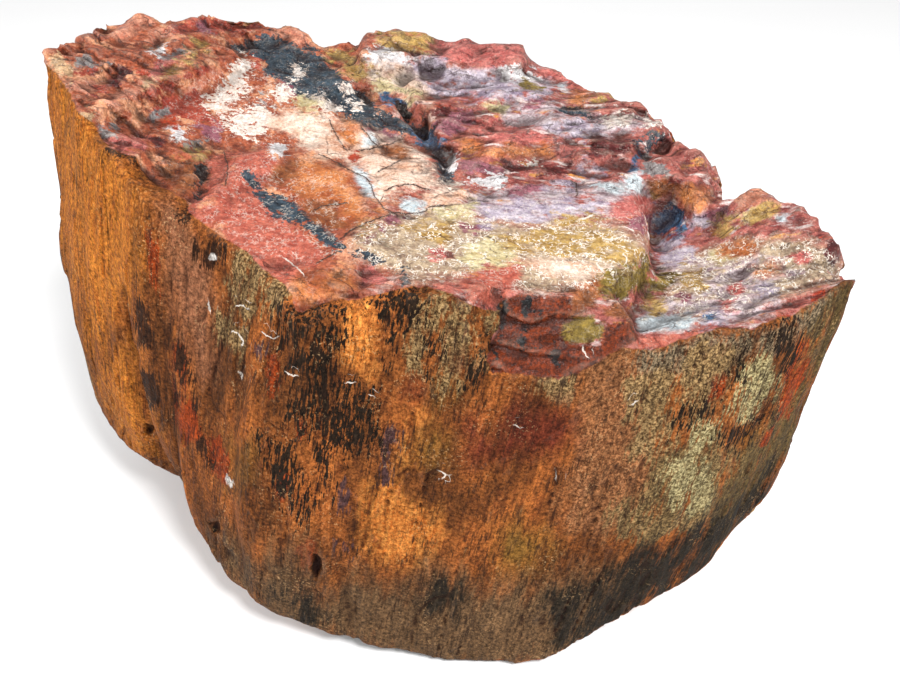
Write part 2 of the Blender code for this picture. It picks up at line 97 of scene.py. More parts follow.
# Floor and lights, in metres and watts: place, size and power of each light
FLOOR_HALF = 30.0
LIGHT_AIM = Vector((0.0, 0.0, 0.08))
SKY_STRENGTH = 0.66
LIGHTS = {
    "key_light": ((0.35, -0.55, 0.95), 0.28, 14.0),
    "side_light": ((-0.8, -0.2, 0.6), 0.6, 5.0),
}
NEAREST_VIEW = 0.01

# Mesh, in millimetres: room left to the solid's box, voxels, height over which the relief starts
# above the foot
BOX_MARGIN = 0.01
VOXEL = 1.25
FOOT_START = 0.2
FOOT_FADE = 3.0

# The voxels leave the foot a little high: it is set down in full near the floor, less above it
SETTLE_SHARE = 1.2
SETTLE_HEIGHT = 4.0

# Triangles of the finished mesh, and the angle between two from which their edge shows sharp
TRIANGLES = 194000
SHARP_ANGLE = math.radians(15.0)

# Rounds of smoothing and the share of each, and rounds that set how wide a hollow is
SMOOTHING_WALLS = 9
SMOOTHING_FACE = 2
SMOOTHING_SHARE = 0.9
FINE_ROUNDS = 3
WIDE_ROUNDS = 24

# Turns the pattern of facets off the axes
FACET_TURN = np.array([[0.80, 0.53, 0.28], [-0.57, 0.81, 0.10], [-0.17, -0.24, 0.955]])

# Grid of the face's heights, in millimetres
GRID_START = np.array([-142, -94])
GRID_SIZE = (288, 192)

# Outline of the broken face, as the solid has it
RIM = [
    (-127, 31), (-115, 16), (-108, 1), (-95, -14), (-82, -31), (-66, -37), (-57, -42), (-45, -53),
    (-32, -74), (-22, -68), (-6, -66), (6, -68), (18, -72), (21, -75), (39, -76), (52, -74),
    (62, -71), (74, -68), (85, -67), (97, -64), (112, -58), (125, -49), (133, -47), (124, -37),
    (132, -29), (127, -21), (119, -11), (110, -4), (99, -2), (93, 11), (86, 25), (80, 36),
    (65, 45), (52, 57), (39, 66), (35, 67), (10, 72), (-12, 77), (-25, 73), (-41, 72),
    (-49, 78), (-63, 80), (-81, 79), (-92, 72), (-98, 68), (-106, 69), (-114, 60), (-120, 48),
]

# Marks of the broken face, in painting order: outlines in the photograph's pixels
FACE_MARKS = {
    "sand": [
        [(668, 306), (664, 268), (690, 252), (740, 240), (800, 238), (838, 252), (842, 276),
         (800, 292), (752, 308), (716, 318), (680, 322)],
        [(356, 226), (400, 214), (440, 206), (520, 222), (600, 222), (644, 236), (644, 262),
         (600, 280), (560, 286), (516, 284), (514, 262), (490, 262), (460, 276), (420, 280),
         (380, 268), (350, 246)],
        [(530, 256), (600, 256), (640, 262), (596, 286), (540, 292), (516, 286)],
    ],
    "haze": [
        [(404, 52), (440, 60), (520, 72), (560, 84), (548, 96), (500, 98), (440, 90), (400, 80),
         (376, 90), (366, 60)],
        [(470, 196), (520, 186), (590, 184), (650, 180), (654, 204), (600, 214), (520, 222),
         (466, 216)],
        [(656, 300), (700, 290), (750, 290), (790, 300), (760, 318), (700, 328), (640, 336),
         (636, 316)],
        [(500, 100), (560, 104), (600, 116), (650, 118), (640, 134), (560, 134), (500, 122)],
        [(660, 252), (700, 256), (760, 250), (800, 270), (760, 292), (700, 290), (660, 284)],
    ],
    "salmon": [
        [(108, 38), (112, 24), (124, 16), (136, 11), (148, 17), (154, 24), (146, 32), (118, 42)],
        [(145, 32), (168, 25), (190, 24), (192, 34), (172, 38), (150, 42)],
        [(66, 80), (84, 76), (104, 82), (98, 92), (80, 94), (68, 90)],
        [(104, 100), (118, 94), (138, 80), (152, 72), (160, 72), (150, 86), (130, 95), (112, 108)],
        [(176, 92), (200, 77), (216, 69), (224, 72), (208, 88), (196, 96), (186, 100)],
        [(262, 28), (284, 26), (298, 28), (312, 44), (308, 56), (296, 48), (280, 38)],
        [(732, 196), (752, 188), (768, 194), (782, 200), (770, 210), (748, 208), (738, 218)],
    ],
    "brick": [
        [(165, 24), (182, 21), (196, 12), (246, 14), (266, 26), (240, 34), (206, 34), (176, 30)],
        [(148, 96), (150, 86), (166, 82), (186, 71), (202, 65), (214, 66), (196, 77), (180, 87),
         (160, 95)],
        [(150, 110), (172, 97), (192, 92), (206, 100), (210, 112), (222, 118), (224, 132),
         (206, 128), (188, 120), (168, 118)],
        [(250, 50), (262, 45), (276, 48), (272, 58), (258, 67), (250, 62)],
        [(70, 74), (84, 67), (98, 65), (95, 71), (80, 79)],
        [(92, 92), (102, 86), (106, 90), (98, 96)],
    ],
    "coral": [
        [(232, 154), (264, 146), (280, 160), (284, 172), (268, 178), (262, 190), (270, 208),
         (290, 224), (312, 236), (322, 250), (318, 268), (300, 272), (290, 285), (268, 276),
         (250, 258), (238, 246), (224, 236), (222, 226), (196, 222), (190, 212), (214, 198),
         (226, 180), (232, 168)],
        [(206, 160), (226, 153), (233, 162), (230, 178), (220, 194), (208, 198), (194, 208),
         (190, 204), (202, 190), (208, 176)],
        [(462, 282), (480, 268), (490, 254), (500, 251), (522, 258), (524, 272), (514, 282),
         (508, 300), (498, 310), (486, 306), (470, 300)],
        [(414, 156), (424, 148), (437, 150), (434, 164), (431, 174), (420, 168)],
        [(634, 346), (636, 336), (656, 336), (676, 332), (700, 327), (712, 326), (704, 334),
         (680, 340), (660, 348), (640, 350)],
    ],
    "rose": [
        [(148, 76), (152, 64), (168, 57), (182, 54), (172, 66), (160, 78)],
        [(104, 140), (118, 134), (140, 136), (150, 140), (146, 147), (134, 153), (120, 152)],
        [(436, 40), (452, 35), (480, 36), (500, 38), (518, 45), (526, 58), (520, 64), (500, 66),
         (480, 68), (462, 68), (446, 60), (434, 50)],
        [(450, 86), (470, 82), (486, 92), (500, 86), (500, 96), (484, 104), (462, 100)],
        [(478, 118), (500, 116), (504, 130), (480, 136), (468, 128)],
        [(488, 134), (510, 130), (540, 130), (550, 140), (520, 144), (496, 142)],
        [(535, 66), (550, 66), (564, 72), (572, 84), (556, 80), (540, 76)],
        [(608, 205), (632, 194), (644, 196), (656, 200), (652, 212), (630, 218), (612, 214)],
        [(358, 270), (368, 266), (388, 277), (394, 281), (380, 285), (362, 284)],
        [(728, 284), (740, 282), (746, 292), (738, 296), (728, 290)],
        [(718, 300), (730, 302), (734, 312), (722, 314)],
        [(790, 256), (802, 250), (812, 256), (810, 264), (796, 266)],
        [(428, 248), (442, 246), (450, 254), (440, 262), (432, 260)],
    ],
    "mauve": [
        [(190, 124), (214, 122), (224, 130), (218, 140), (200, 134), (188, 131)],
        [(278, 80), (290, 72), (306, 82), (308, 95), (298, 98), (288, 94)],
        [(362, 128), (380, 124), (394, 130), (400, 138), (395, 146), (382, 146), (372, 138)],
        [(432, 124), (446, 112), (460, 108), (474, 116), (470, 128), (458, 136), (444, 136)],
        [(460, 160), (478, 158), (498, 160), (504, 172), (490, 174), (464, 174), (456, 170)],
        [(380, 222), (392, 217), (412, 218), (396, 227), (384, 233), (366, 243), (358, 247),
         (362, 238), (374, 230)],
        [(455, 218), (470, 221), (486, 230), (476, 237), (462, 233)],
        [(508, 190), (530, 184), (545, 186), (530, 194), (512, 196)],
        [(668, 234), (684, 229), (700, 230), (706, 234), (690, 238), (674, 240)],
        [(708, 210), (724, 208), (734, 216), (722, 224), (708, 222)],
        [(672, 292), (690, 292), (696, 302), (680, 304)],
        [(634, 218), (652, 214), (654, 226), (644, 232), (632, 226)],
        [(524, 100), (535, 94), (545, 100), (538, 108), (524, 108)],
        [(196, 24), (206, 22), (212, 32), (202, 35)],
    ],
    "lavender": [
        [(400, 82), (440, 72), (500, 74), (548, 84), (552, 95), (500, 102), (452, 96), (412, 94)],
        [(408, 60), (424, 56), (440, 62), (460, 72), (480, 74), (500, 76), (490, 84), (470, 82),
         (450, 84), (430, 78), (412, 72)],
        [(560, 120), (580, 116), (596, 122), (600, 130), (584, 134), (564, 132), (548, 126)],
        [(552, 182), (570, 178), (578, 180), (576, 190), (560, 188), (548, 188)],
        [(500, 206), (530, 202), (560, 204), (590, 200), (606, 206), (590, 216), (560, 220),
         (520, 220), (500, 214)],
        [(466, 208), (486, 206), (500, 212), (496, 224), (478, 222)],
        [(574, 166), (590, 164), (604, 172), (600, 178), (584, 176)],
        [(658, 238), (680, 240), (700, 246), (694, 258), (672, 262), (658, 260)],
        [(756, 282), (772, 280), (780, 290), (768, 300), (756, 296)],
        [(700, 312), (716, 308), (728, 316), (720, 326), (702, 324)],
        [(700, 216), (684, 216), (690, 226), (706, 226)],
    ],
    "grey": [
        [(160, 55), (175, 50), (190, 48), (192, 52), (178, 55), (164, 60)],
        [(76, 58), (88, 54), (100, 58), (104, 63), (90, 65), (76, 64)],
        [(180, 142), (196, 140), (206, 142), (200, 149), (184, 149)],
        [(250, 108), (262, 96), (276, 106), (278, 118), (262, 114)],
        [(642, 158), (656, 160), (668, 164), (668, 176), (654, 178), (642, 172)],
        [(146, 118), (160, 110), (176, 107), (168, 114), (154, 120)],
        [(95, 124), (112, 126), (118, 132), (104, 137), (96, 132)],
    ],
    "navy": [
        [(234, 47), (250, 38), (266, 35), (292, 42), (312, 52), (338, 69), (353, 86), (369, 98),
         (382, 112), (398, 116), (412, 120), (430, 129), (441, 142), (450, 158), (457, 179),
         (447, 188), (437, 180), (435, 164), (422, 146), (404, 134), (384, 128), (362, 126),
         (342, 116), (318, 108), (300, 98), (286, 82), (266, 74), (264, 60), (246, 53)],
        [(241, 170), (250, 172), (258, 180), (264, 190), (280, 198), (300, 206), (318, 220),
         (330, 232), (350, 246), (340, 251), (326, 245), (312, 233), (300, 223), (286, 217),
         (272, 212), (262, 204), (256, 192), (246, 181)],
        [(352, 248), (366, 250), (381, 258), (374, 261), (352, 254)],
        [(432, 162), (438, 158), (446, 168), (452, 178), (456, 185), (446, 187), (438, 180)],
        [(398, 118), (410, 122), (426, 124), (430, 132), (416, 132), (402, 126)],
        [(560, 106), (576, 106), (590, 114), (600, 122), (590, 122), (576, 116), (560, 112)],
        [(642, 136), (652, 130), (660, 128), (660, 138), (650, 146), (640, 144), (630, 150),
         (612, 158), (624, 146), (634, 138)],
        [(398, 270), (405, 268), (405, 278), (401, 282)],
    ],
    "frost": [
        [(244, 56), (250, 60), (247, 72), (240, 84), (246, 98), (232, 106), (216, 113), (207, 109),
         (206, 99), (222, 84), (234, 70)],
        [(222, 118), (240, 108), (262, 102), (276, 110), (272, 122), (256, 136), (240, 136),
         (226, 128)],
        [(270, 90), (286, 86), (292, 94), (284, 104), (272, 100)],
        [(292, 68), (302, 64), (304, 74), (296, 78)],
        [(338, 86), (350, 84), (354, 92), (344, 96)],
        [(352, 104), (364, 102), (362, 112), (352, 114)],
        [(308, 94), (324, 98), (342, 108), (334, 114), (314, 107)],
        [(604, 116), (620, 112), (632, 118), (628, 126), (608, 124)],
        [(645, 118), (660, 116), (668, 120), (656, 126), (646, 124)],
        [(520, 160), (536, 158), (540, 164), (528, 168), (518, 164)],
    ],
    "white": [
        [(150, 50), (158, 48), (166, 44), (168, 50), (160, 53)],
        [(166, 128), (176, 124), (184, 130), (187, 138), (179, 142), (174, 135)],
        [(268, 146), (284, 142), (288, 150), (282, 158), (272, 157)],
        [(440, 150), (450, 150), (458, 160), (452, 174), (446, 166)],
        [(366, 52), (386, 44), (406, 50), (416, 60), (402, 70), (386, 78), (370, 72)],
        [(462, 178), (480, 176), (500, 176), (508, 182), (500, 188), (480, 186), (462, 184)],
        [(500, 68), (520, 68), (536, 72), (540, 80), (520, 84), (504, 80)],
    ],
    "peach": [
        [(270, 116), (298, 110), (322, 114), (342, 124), (372, 134), (402, 142), (426, 156),
         (438, 178), (420, 188), (386, 190), (366, 172), (344, 160), (318, 150), (292, 140),
         (272, 128)],
        [(362, 150), (378, 148), (394, 158), (406, 160), (416, 152), (430, 164), (438, 186),
         (424, 190), (404, 186), (386, 196), (378, 200), (372, 184), (364, 168)],
        [(272, 122), (286, 110), (298, 108), (300, 120), (288, 132), (278, 134)],
        [(420, 196), (440, 186), (458, 184), (467, 196), (460, 205), (440, 207), (424, 210)],
        [(318, 154), (334, 164), (342, 172), (324, 168)],
        [(526, 258), (560, 258), (590, 262), (610, 266), (600, 276), (570, 280), (540, 272)],
        [(372, 62), (404, 66), (424, 84), (432, 104), (408, 102), (386, 90), (368, 78)],
    ],
    "ice": [
        [(354, 166), (362, 168), (372, 184), (375, 197), (366, 195), (356, 184)],
        [(360, 134), (368, 132), (376, 143), (372, 148), (360, 147)],
        [(400, 200), (412, 197), (424, 202), (423, 212), (408, 214), (402, 208)],
        [(632, 168), (640, 170), (646, 184), (640, 192), (624, 192), (604, 190), (590, 186),
         (600, 182), (626, 184)],
        [(556, 84), (566, 84), (566, 92), (556, 92)],
        [(636, 318), (660, 314), (690, 312), (700, 322), (690, 328), (660, 332), (638, 332)],
        [(776, 216), (788, 214), (796, 222), (782, 224)],
    ],
    "cream": [
        [(292, 100), (308, 98), (320, 102), (314, 112), (300, 114)],
        [(430, 212), (450, 208), (470, 206), (482, 214), (468, 221), (440, 219)],
        [(462, 246), (482, 240), (502, 238), (520, 244), (520, 260), (498, 268), (475, 270),
         (464, 262)],
        [(484, 102), (498, 100), (508, 106), (500, 114), (484, 112)],
        [(710, 252), (730, 250), (742, 258), (722, 266), (708, 262)],
        [(368, 84), (385, 78), (402, 84), (396, 92), (376, 92)],
        [(404, 92), (416, 92), (422, 102), (410, 104)],
        [(740, 214), (752, 208), (760, 212), (748, 222)],
    ],
    "yellow": [
        [(174, 150), (184, 148), (198, 150), (208, 153), (204, 158), (190, 158), (178, 157)],
        [(190, 46), (195, 39), (206, 40), (210, 46), (198, 53), (190, 53)],
        [(166, 76), (172, 66), (182, 60), (192, 56), (188, 67), (178, 74)],
        [(330, 55), (338, 48), (352, 54), (357, 61), (344, 63), (334, 61)],
        [(340, 66), (355, 62), (370, 68), (365, 80), (354, 76), (343, 73)],
        [(376, 36), (390, 27), (404, 27), (424, 34), (434, 40), (428, 52), (408, 52), (392, 46),
         (380, 42)],
        [(398, 227), (416, 222), (440, 222), (456, 227), (458, 235), (440, 241), (414, 239)],
        [(500, 236), (520, 236), (560, 226), (600, 232), (640, 250), (640, 262), (600, 260),
         (560, 254), (520, 252), (502, 246)],
        [(552, 216), (584, 214), (602, 218), (590, 226), (560, 226)],
        [(648, 296), (664, 300), (668, 312), (656, 316), (645, 310)],
        [(684, 270), (700, 268), (706, 284), (698, 294), (684, 288), (676, 280)],
        [(718, 222), (732, 218), (742, 222), (726, 236), (716, 232)],
        [(746, 212), (766, 204), (780, 208), (768, 216), (752, 224)],
        [(360, 228), (372, 221), (377, 229), (365, 235)],
        [(590, 96), (602, 96), (602, 103), (590, 103)],
    ],
    "olive": [
        [(600, 276), (616, 270), (634, 266), (646, 258), (652, 262), (644, 282), (636, 292),
         (622, 300), (612, 296), (596, 296), (590, 290)],
        [(556, 330), (570, 318), (590, 316), (606, 322), (604, 340), (580, 344), (562, 340)],
        [(646, 282), (662, 272), (678, 272), (674, 282), (664, 292), (650, 292)],
        [(520, 82), (536, 84), (546, 88), (530, 92), (518, 90)],
        [(644, 186), (660, 190), (664, 198), (652, 196)],
    ],
    "orange": [
        [(296, 190), (312, 182), (340, 188), (360, 196), (364, 214), (352, 226), (342, 232),
         (338, 206), (314, 206), (304, 208)],
        [(284, 176), (300, 166), (320, 160), (336, 164), (352, 176), (356, 190), (330, 186),
         (312, 184), (298, 190)],
        [(358, 130), (362, 132), (360, 142), (356, 150), (354, 138)],
        [(336, 126), (350, 122), (360, 130), (354, 146), (345, 150), (336, 138)],
        [(372, 208), (384, 206), (382, 214), (374, 218)],
        [(310, 272), (330, 270), (352, 273), (356, 282), (346, 290), (330, 299), (316, 298),
         (310, 286)],
        [(292, 282), (304, 276), (312, 288), (314, 306), (302, 308), (292, 298)],
        [(456, 138), (476, 140), (490, 148), (480, 156), (462, 146)],
        [(492, 146), (520, 146), (546, 146), (552, 156), (530, 158), (502, 158), (486, 154)],
        [(570, 94), (584, 90), (588, 98), (580, 104), (570, 102)],
        [(674, 188), (690, 182), (706, 188), (716, 196), (704, 206), (690, 210), (678, 204)],
        [(754, 270), (768, 260), (784, 266), (782, 276), (764, 278), (754, 276)],
        [(720, 244), (740, 240), (762, 244), (756, 256), (736, 258), (720, 252)],
    ],
    "amber": [
        [(300, 197), (318, 200), (336, 202), (338, 208), (345, 226), (330, 233), (318, 222),
         (306, 212)],
        [(275, 166), (290, 160), (300, 160), (296, 176), (284, 184), (272, 178)],
        [(380, 146), (398, 142), (411, 154), (403, 161), (392, 158), (382, 154)],
        [(644, 180), (664, 178), (672, 190), (664, 200), (650, 192)],
        [(602, 308), (618, 304), (632, 306), (632, 318), (614, 320), (604, 316)],
        [(160, 168), (172, 161), (195, 164), (197, 176), (192, 194), (180, 198), (172, 192)],
        [(572, 290), (590, 282), (600, 280), (600, 300), (584, 314), (566, 316)],
    ],
    "cinder": [
        [(500, 300), (520, 294), (545, 296), (570, 294), (572, 310), (560, 330), (562, 344),
         (600, 344), (606, 324), (634, 320), (640, 338), (620, 352), (598, 368), (570, 378),
         (540, 380), (500, 378), (480, 372), (486, 344), (496, 336)],
    ],
    "red": [
        [(349, 152), (358, 150), (361, 156), (357, 165), (350, 160)],
        [(134, 70), (140, 66), (148, 68), (147, 74), (138, 76)],
        [(160, 120), (175, 116), (185, 121), (178, 125), (162, 125)],
        [(430, 104), (450, 103), (456, 110), (440, 112)],
        [(776, 310), (790, 314), (796, 320), (786, 322)],
        [(808, 294), (820, 290), (824, 298), (812, 302)],
        [(820, 236), (838, 236), (846, 242), (830, 244)],
    ],
    "maroon": [
        [(108, 84), (118, 72), (126, 66), (132, 70), (128, 79), (118, 88)],
        [(500, 160), (520, 164), (540, 170), (560, 166), (572, 162), (574, 172), (560, 178),
         (540, 180), (520, 172), (506, 170)],
        [(426, 108), (440, 106), (454, 106), (446, 118), (430, 120)],
        [(594, 138), (606, 142), (624, 142), (638, 140), (630, 152), (608, 158), (592, 160)],
        [(826, 240), (840, 242), (844, 248), (840, 260), (834, 268), (826, 256)],
        [(152, 140), (164, 138), (166, 144), (158, 152), (150, 150)],
    ],
    "tan": [
        [(46, 60), (58, 57), (72, 63), (71, 77), (60, 75), (50, 67)],
        [(76, 112), (86, 108), (96, 116), (90, 123), (80, 121)],
        [(140, 84), (150, 80), (156, 82), (148, 88)],
    ],
    "blue": [
        [(656, 206), (672, 204), (684, 212), (684, 228), (668, 236), (656, 234), (654, 220)],
        [(380, 94), (394, 96), (402, 104), (392, 106)],
        [(412, 134), (430, 134), (446, 142), (444, 152), (428, 146), (414, 142)],
        [(624, 160), (636, 156), (640, 166), (630, 172)],
        [(702, 314), (712, 314), (712, 320), (702, 320)],
    ],
    "black": [
        [(196, 167), (203, 163), (209, 168), (207, 178), (203, 182), (203, 192), (201, 198),
         (198, 196), (198, 184), (195, 176)],
        [(396, 103), (404, 108), (416, 118), (426, 124), (430, 128), (416, 124), (402, 118)],
        [(364, 98), (370, 102), (376, 108), (370, 108)],
        [(500, 296), (507, 298), (506, 320), (502, 340), (500, 366), (494, 364), (498, 330)],
        [(550, 356), (558, 352), (560, 366), (552, 368)],
        [(524, 300), (528, 300), (527, 330), (524, 352), (521, 350), (523, 326)],
        [(540, 304), (543, 304), (542, 322), (540, 346), (537, 344), (539, 324)],
    ],
}

# Marks of the walls, likewise
WALL_MARKS = {
    # Honey-coloured left wall, made lighter with painted light where the light falls on that side
    "lit_honey": [
        [(46, 72), (60, 76), (76, 100), (94, 124), (106, 146), (122, 160), (132, 180), (138, 205),
         (141, 235), (142, 262), (136, 286), (128, 300), (110, 330), (96, 372), (86, 352),
         (76, 312), (68, 290), (63, 240), (58, 190), (50, 120)],
        [(90, 380), (112, 350), (130, 340), (134, 370), (150, 410), (160, 440), (150, 455),
         (130, 446), (104, 408)],
    ],
    "fawn": [
        [(576, 356), (640, 352), (650, 420), (662, 470), (654, 524), (600, 540), (556, 520),
         (570, 460), (580, 420), (572, 390)],
    ],
    "taupe": [
        [(160, 205), (172, 204), (184, 226), (198, 250), (212, 280), (216, 310), (214, 340),
         (212, 370), (206, 384), (196, 360), (184, 330), (172, 300), (164, 262), (166, 240)],
    ],
    "glow": [
        [(366, 486), (392, 484), (420, 500), (440, 510), (436, 540), (424, 560), (400, 566),
         (376, 566), (366, 550), (362, 520)],
        [(340, 306), (372, 302), (376, 320), (384, 340), (380, 360), (366, 380), (350, 376),
         (338, 360), (342, 330)],
        [(404, 440), (412, 438), (414, 458), (404, 460)],
        [(404, 420), (418, 410), (420, 418), (406, 426)],
    ],
    "moss": [
        [(420, 440), (440, 432), (452, 440), (446, 456), (430, 460), (418, 452)],
        [(500, 530), (540, 530), (548, 545), (540, 570), (520, 576), (500, 572), (494, 550)],
        [(440, 384), (452, 382), (450, 396), (442, 400)],
        [(230, 445), (244, 450), (246, 480), (236, 484), (230, 465)],
        [(746, 440), (760, 430), (772, 424), (760, 446), (748, 452)],
    ],
    # Drab right end of the block, darker with painted shade for the side away from the light
    "shaded_drab": [
        [(800, 310), (850, 282), (848, 310), (826, 360), (804, 400), (790, 450), (772, 472),
         (732, 540), (700, 560), (712, 500), (756, 440), (788, 380), (804, 340)],
    ],
    "ash": [
        [(636, 350), (680, 345), (720, 332), (760, 332), (792, 320), (778, 350), (744, 360),
         (712, 372), (676, 380), (642, 372)],
        [(776, 330), (812, 306), (830, 296), (806, 330), (790, 352)],
    ],
    "beige": [
        [(228, 250), (250, 248), (270, 262), (284, 282), (284, 300), (270, 310), (254, 320),
         (240, 316), (230, 300), (226, 276)],
        [(214, 310), (226, 316), (240, 330), (240, 345), (222, 342), (214, 332)],
        [(418, 294), (440, 296), (470, 308), (496, 316), (500, 330), (486, 350), (484, 366),
         (470, 372), (460, 392), (440, 400), (436, 380), (440, 350), (428, 330), (414, 312)],
        [(400, 340), (424, 340), (420, 370), (402, 370)],
        [(536, 376), (560, 376), (572, 380), (566, 396), (550, 400), (536, 392)],
        [(618, 508), (660, 500), (712, 512), (700, 530), (650, 540), (620, 534)],
        [(690, 352), (720, 344), (740, 350), (730, 372), (700, 384), (684, 372)],
        [(630, 384), (668, 372), (712, 370), (736, 380), (726, 400), (704, 424), (684, 440),
         (672, 470), (650, 478), (636, 450), (626, 416)],
    ],
    "rust": [
        [(150, 225), (158, 240), (160, 262), (158, 300), (152, 290), (148, 260), (146, 235)],
        [(174, 345), (184, 352), (190, 380), (198, 420), (204, 440), (186, 440), (180, 420),
         (178, 390)],
        [(206, 438), (222, 440), (232, 460), (224, 480), (210, 470), (204, 455)],
        [(268, 355), (280, 352), (282, 370), (274, 400), (268, 398)],
        [(300, 420), (310, 426), (312, 436), (300, 440), (294, 428)],
        [(296, 548), (312, 544), (314, 566), (304, 572), (298, 560)],
        [(280, 474), (290, 472), (290, 488), (282, 500)],
        [(796, 340), (812, 336), (808, 372), (797, 392), (790, 414), (779, 418), (782, 390),
         (790, 366)],
        [(762, 432), (770, 430), (766, 446), (760, 446)],
        [(722, 380), (728, 378), (728, 392), (716, 402), (710, 402)],
        [(720, 452), (732, 444), (728, 466), (718, 476)],
    ],
    "oxblood": [
        [(500, 410), (530, 400), (560, 412), (574, 420), (572, 440), (560, 460), (530, 456),
         (510, 462), (480, 462), (462, 456), (470, 440), (480, 430), (490, 440), (498, 425)],
        [(462, 416), (476, 420), (478, 436), (464, 436)],
        [(404, 386), (420, 388), (418, 396), (404, 396)],
        [(460, 360), (470, 362), (468, 368), (460, 368)],
    ],
    "plum": [
        [(376, 450), (386, 432), (400, 424), (404, 430), (392, 446), (384, 460), (386, 480),
         (380, 484), (378, 464)],
        [(336, 478), (352, 476), (350, 500), (348, 516), (340, 520), (334, 500)],
        [(255, 345), (268, 340), (270, 352), (258, 356)],
        [(340, 540), (352, 546), (350, 560), (342, 556)],
    ],
    "sage": [
        [(652, 460), (690, 440), (724, 430), (738, 452), (724, 492), (700, 522), (650, 542),
         (610, 534), (616, 508), (646, 496)],
    ],
    "lichen": [
        [(742, 362), (760, 357), (776, 368), (777, 386), (766, 412), (750, 424), (732, 422),
         (716, 418), (724, 408), (734, 390)],
        [(672, 464), (690, 456), (704, 466), (710, 484), (704, 502), (688, 510), (670, 502)],
        [(700, 420), (724, 424), (716, 440), (700, 448), (690, 440)],
        [(690, 420), (706, 416), (706, 430), (696, 440), (688, 434)],
    ],
    # Damp darkening along the foot, and painted shade where the lower front turns under towards the floor
    "damp_and_shade": [
        [(262, 560), (290, 540), (320, 590), (360, 570), (400, 590), (430, 570), (470, 585),
         (520, 580), (560, 575), (600, 570), (620, 560), (640, 590), (600, 650), (560, 670),
         (480, 680), (400, 670), (330, 640), (280, 640), (250, 610)],
        [(216, 530), (240, 540), (262, 560), (262, 600), (236, 590), (216, 560)],
    ],
    "umber": [
        [(180, 206), (192, 208), (194, 214), (186, 222), (178, 214)],
        [(200, 240), (225, 243), (230, 256), (224, 270), (206, 264), (196, 252)],
        [(134, 300), (144, 306), (150, 330), (150, 345), (140, 344), (136, 325)],
        [(142, 372), (156, 378), (160, 400), (150, 408), (140, 395)],
        [(184, 352), (190, 368), (196, 392), (200, 412), (196, 412), (188, 384), (184, 366)],
        [(176, 346), (184, 362), (188, 400), (180, 400)],
        [(200, 432), (208, 446), (216, 470), (208, 468), (200, 450)],
        [(106, 148), (122, 152), (136, 156), (134, 166), (124, 160), (110, 152)],
    ],
    "soot": [
        [(282, 306), (300, 312), (330, 304), (342, 306), (342, 330), (336, 360), (334, 376),
         (318, 378), (300, 370), (286, 366), (282, 340)],
        [(375, 300), (396, 296), (412, 290), (420, 300), (426, 316), (414, 312), (400, 330),
         (392, 326), (384, 318)],
        [(316, 384), (338, 378), (360, 380), (372, 402), (380, 430), (378, 450), (350, 450),
         (316, 440), (296, 430), (286, 412), (300, 395)],
        [(262, 440), (290, 444), (296, 460), (300, 480), (310, 500), (306, 520), (296, 516),
         (284, 490), (270, 470)],
        [(320, 440), (340, 446), (334, 480), (330, 500), (322, 500), (318, 470)],
        [(392, 310), (396, 330), (394, 350), (390, 370), (388, 350), (390, 330)],
        [(432, 330), (438, 344), (438, 362), (430, 372), (430, 350)],
        [(484, 334), (492, 338), (494, 352), (486, 350)],
        [(478, 350), (484, 360), (480, 370)],
        [(466, 370), (474, 370), (472, 384), (466, 388)],
        [(676, 410), (700, 406), (716, 404), (712, 414), (690, 418), (684, 430), (676, 430)],
        [(738, 362), (744, 352), (740, 380), (730, 386)],
        [(776, 330), (790, 322), (800, 340), (796, 360), (784, 372), (780, 352)],
        [(750, 424), (764, 412), (770, 400), (764, 420), (742, 436), (724, 450), (720, 440),
         (736, 430)],
    ],
    # Painted shade: dark on the lower right, where the wall turns under, and along the foot
    "underside_shade": [
        [(556, 600), (620, 562), (664, 542), (706, 526), (745, 498), (776, 468), (776, 500),
         (740, 560), (700, 604), (650, 636), (600, 660), (556, 650)],
        [(280, 590), (310, 590), (330, 616), (300, 630)],
        [(424, 590), (440, 580), (460, 590), (450, 610), (430, 610)],
        [(548, 600), (566, 590), (580, 620), (570, 636), (552, 628)],
    ],
    # Small holes, dug into the mesh and painted near black as the shade inside them
    "shaded_hole": [
        [(145, 425), (155, 428), (150, 437), (144, 434)],
        [(209, 523), (218, 523), (219, 533), (213, 534)],
        [(313, 556), (320, 558), (321, 570), (315, 580), (311, 570)],
    ],
    "chip": [
        [(211, 253), (217, 254), (217, 260), (210, 259)],
        [(227, 475), (232, 478), (235, 487), (231, 489), (227, 483)],
    ],
}

# Edge of the broken face where the photograph shows it, round by the picture's top
FACE_OUTLINE = [
    (42, 62), (56, 72), (64, 84), (72, 98), (78, 112), (94, 122), (100, 138), (106, 144),
    (124, 154), (136, 156), (140, 168), (150, 180), (160, 186), (172, 192), (186, 200),
    (190, 212), (200, 222), (215, 232), (225, 240), (245, 250), (256, 262), (270, 274),
    (284, 284), (292, 296), (295, 312), (301, 314), (310, 308), (322, 302), (340, 299),
    (360, 299), (380, 293), (398, 290), (410, 287), (425, 286), (440, 290), (455, 294),
    (464, 302), (475, 306), (485, 309), (497, 311), (501, 300), (503, 306), (497, 330),
    (491, 340), (487, 360), (491, 372), (510, 374), (540, 377), (560, 378), (580, 372),
    (600, 362), (612, 354), (622, 348), (634, 348), (650, 350), (662, 347), (680, 340),
    (700, 333), (720, 328), (740, 327), (752, 329), (770, 320), (790, 316), (800, 308),
    (810, 304), (824, 296), (836, 284), (848, 278), (870, 274), (900, 260), (900, -20), (0, -20),
    (0, 60),
]

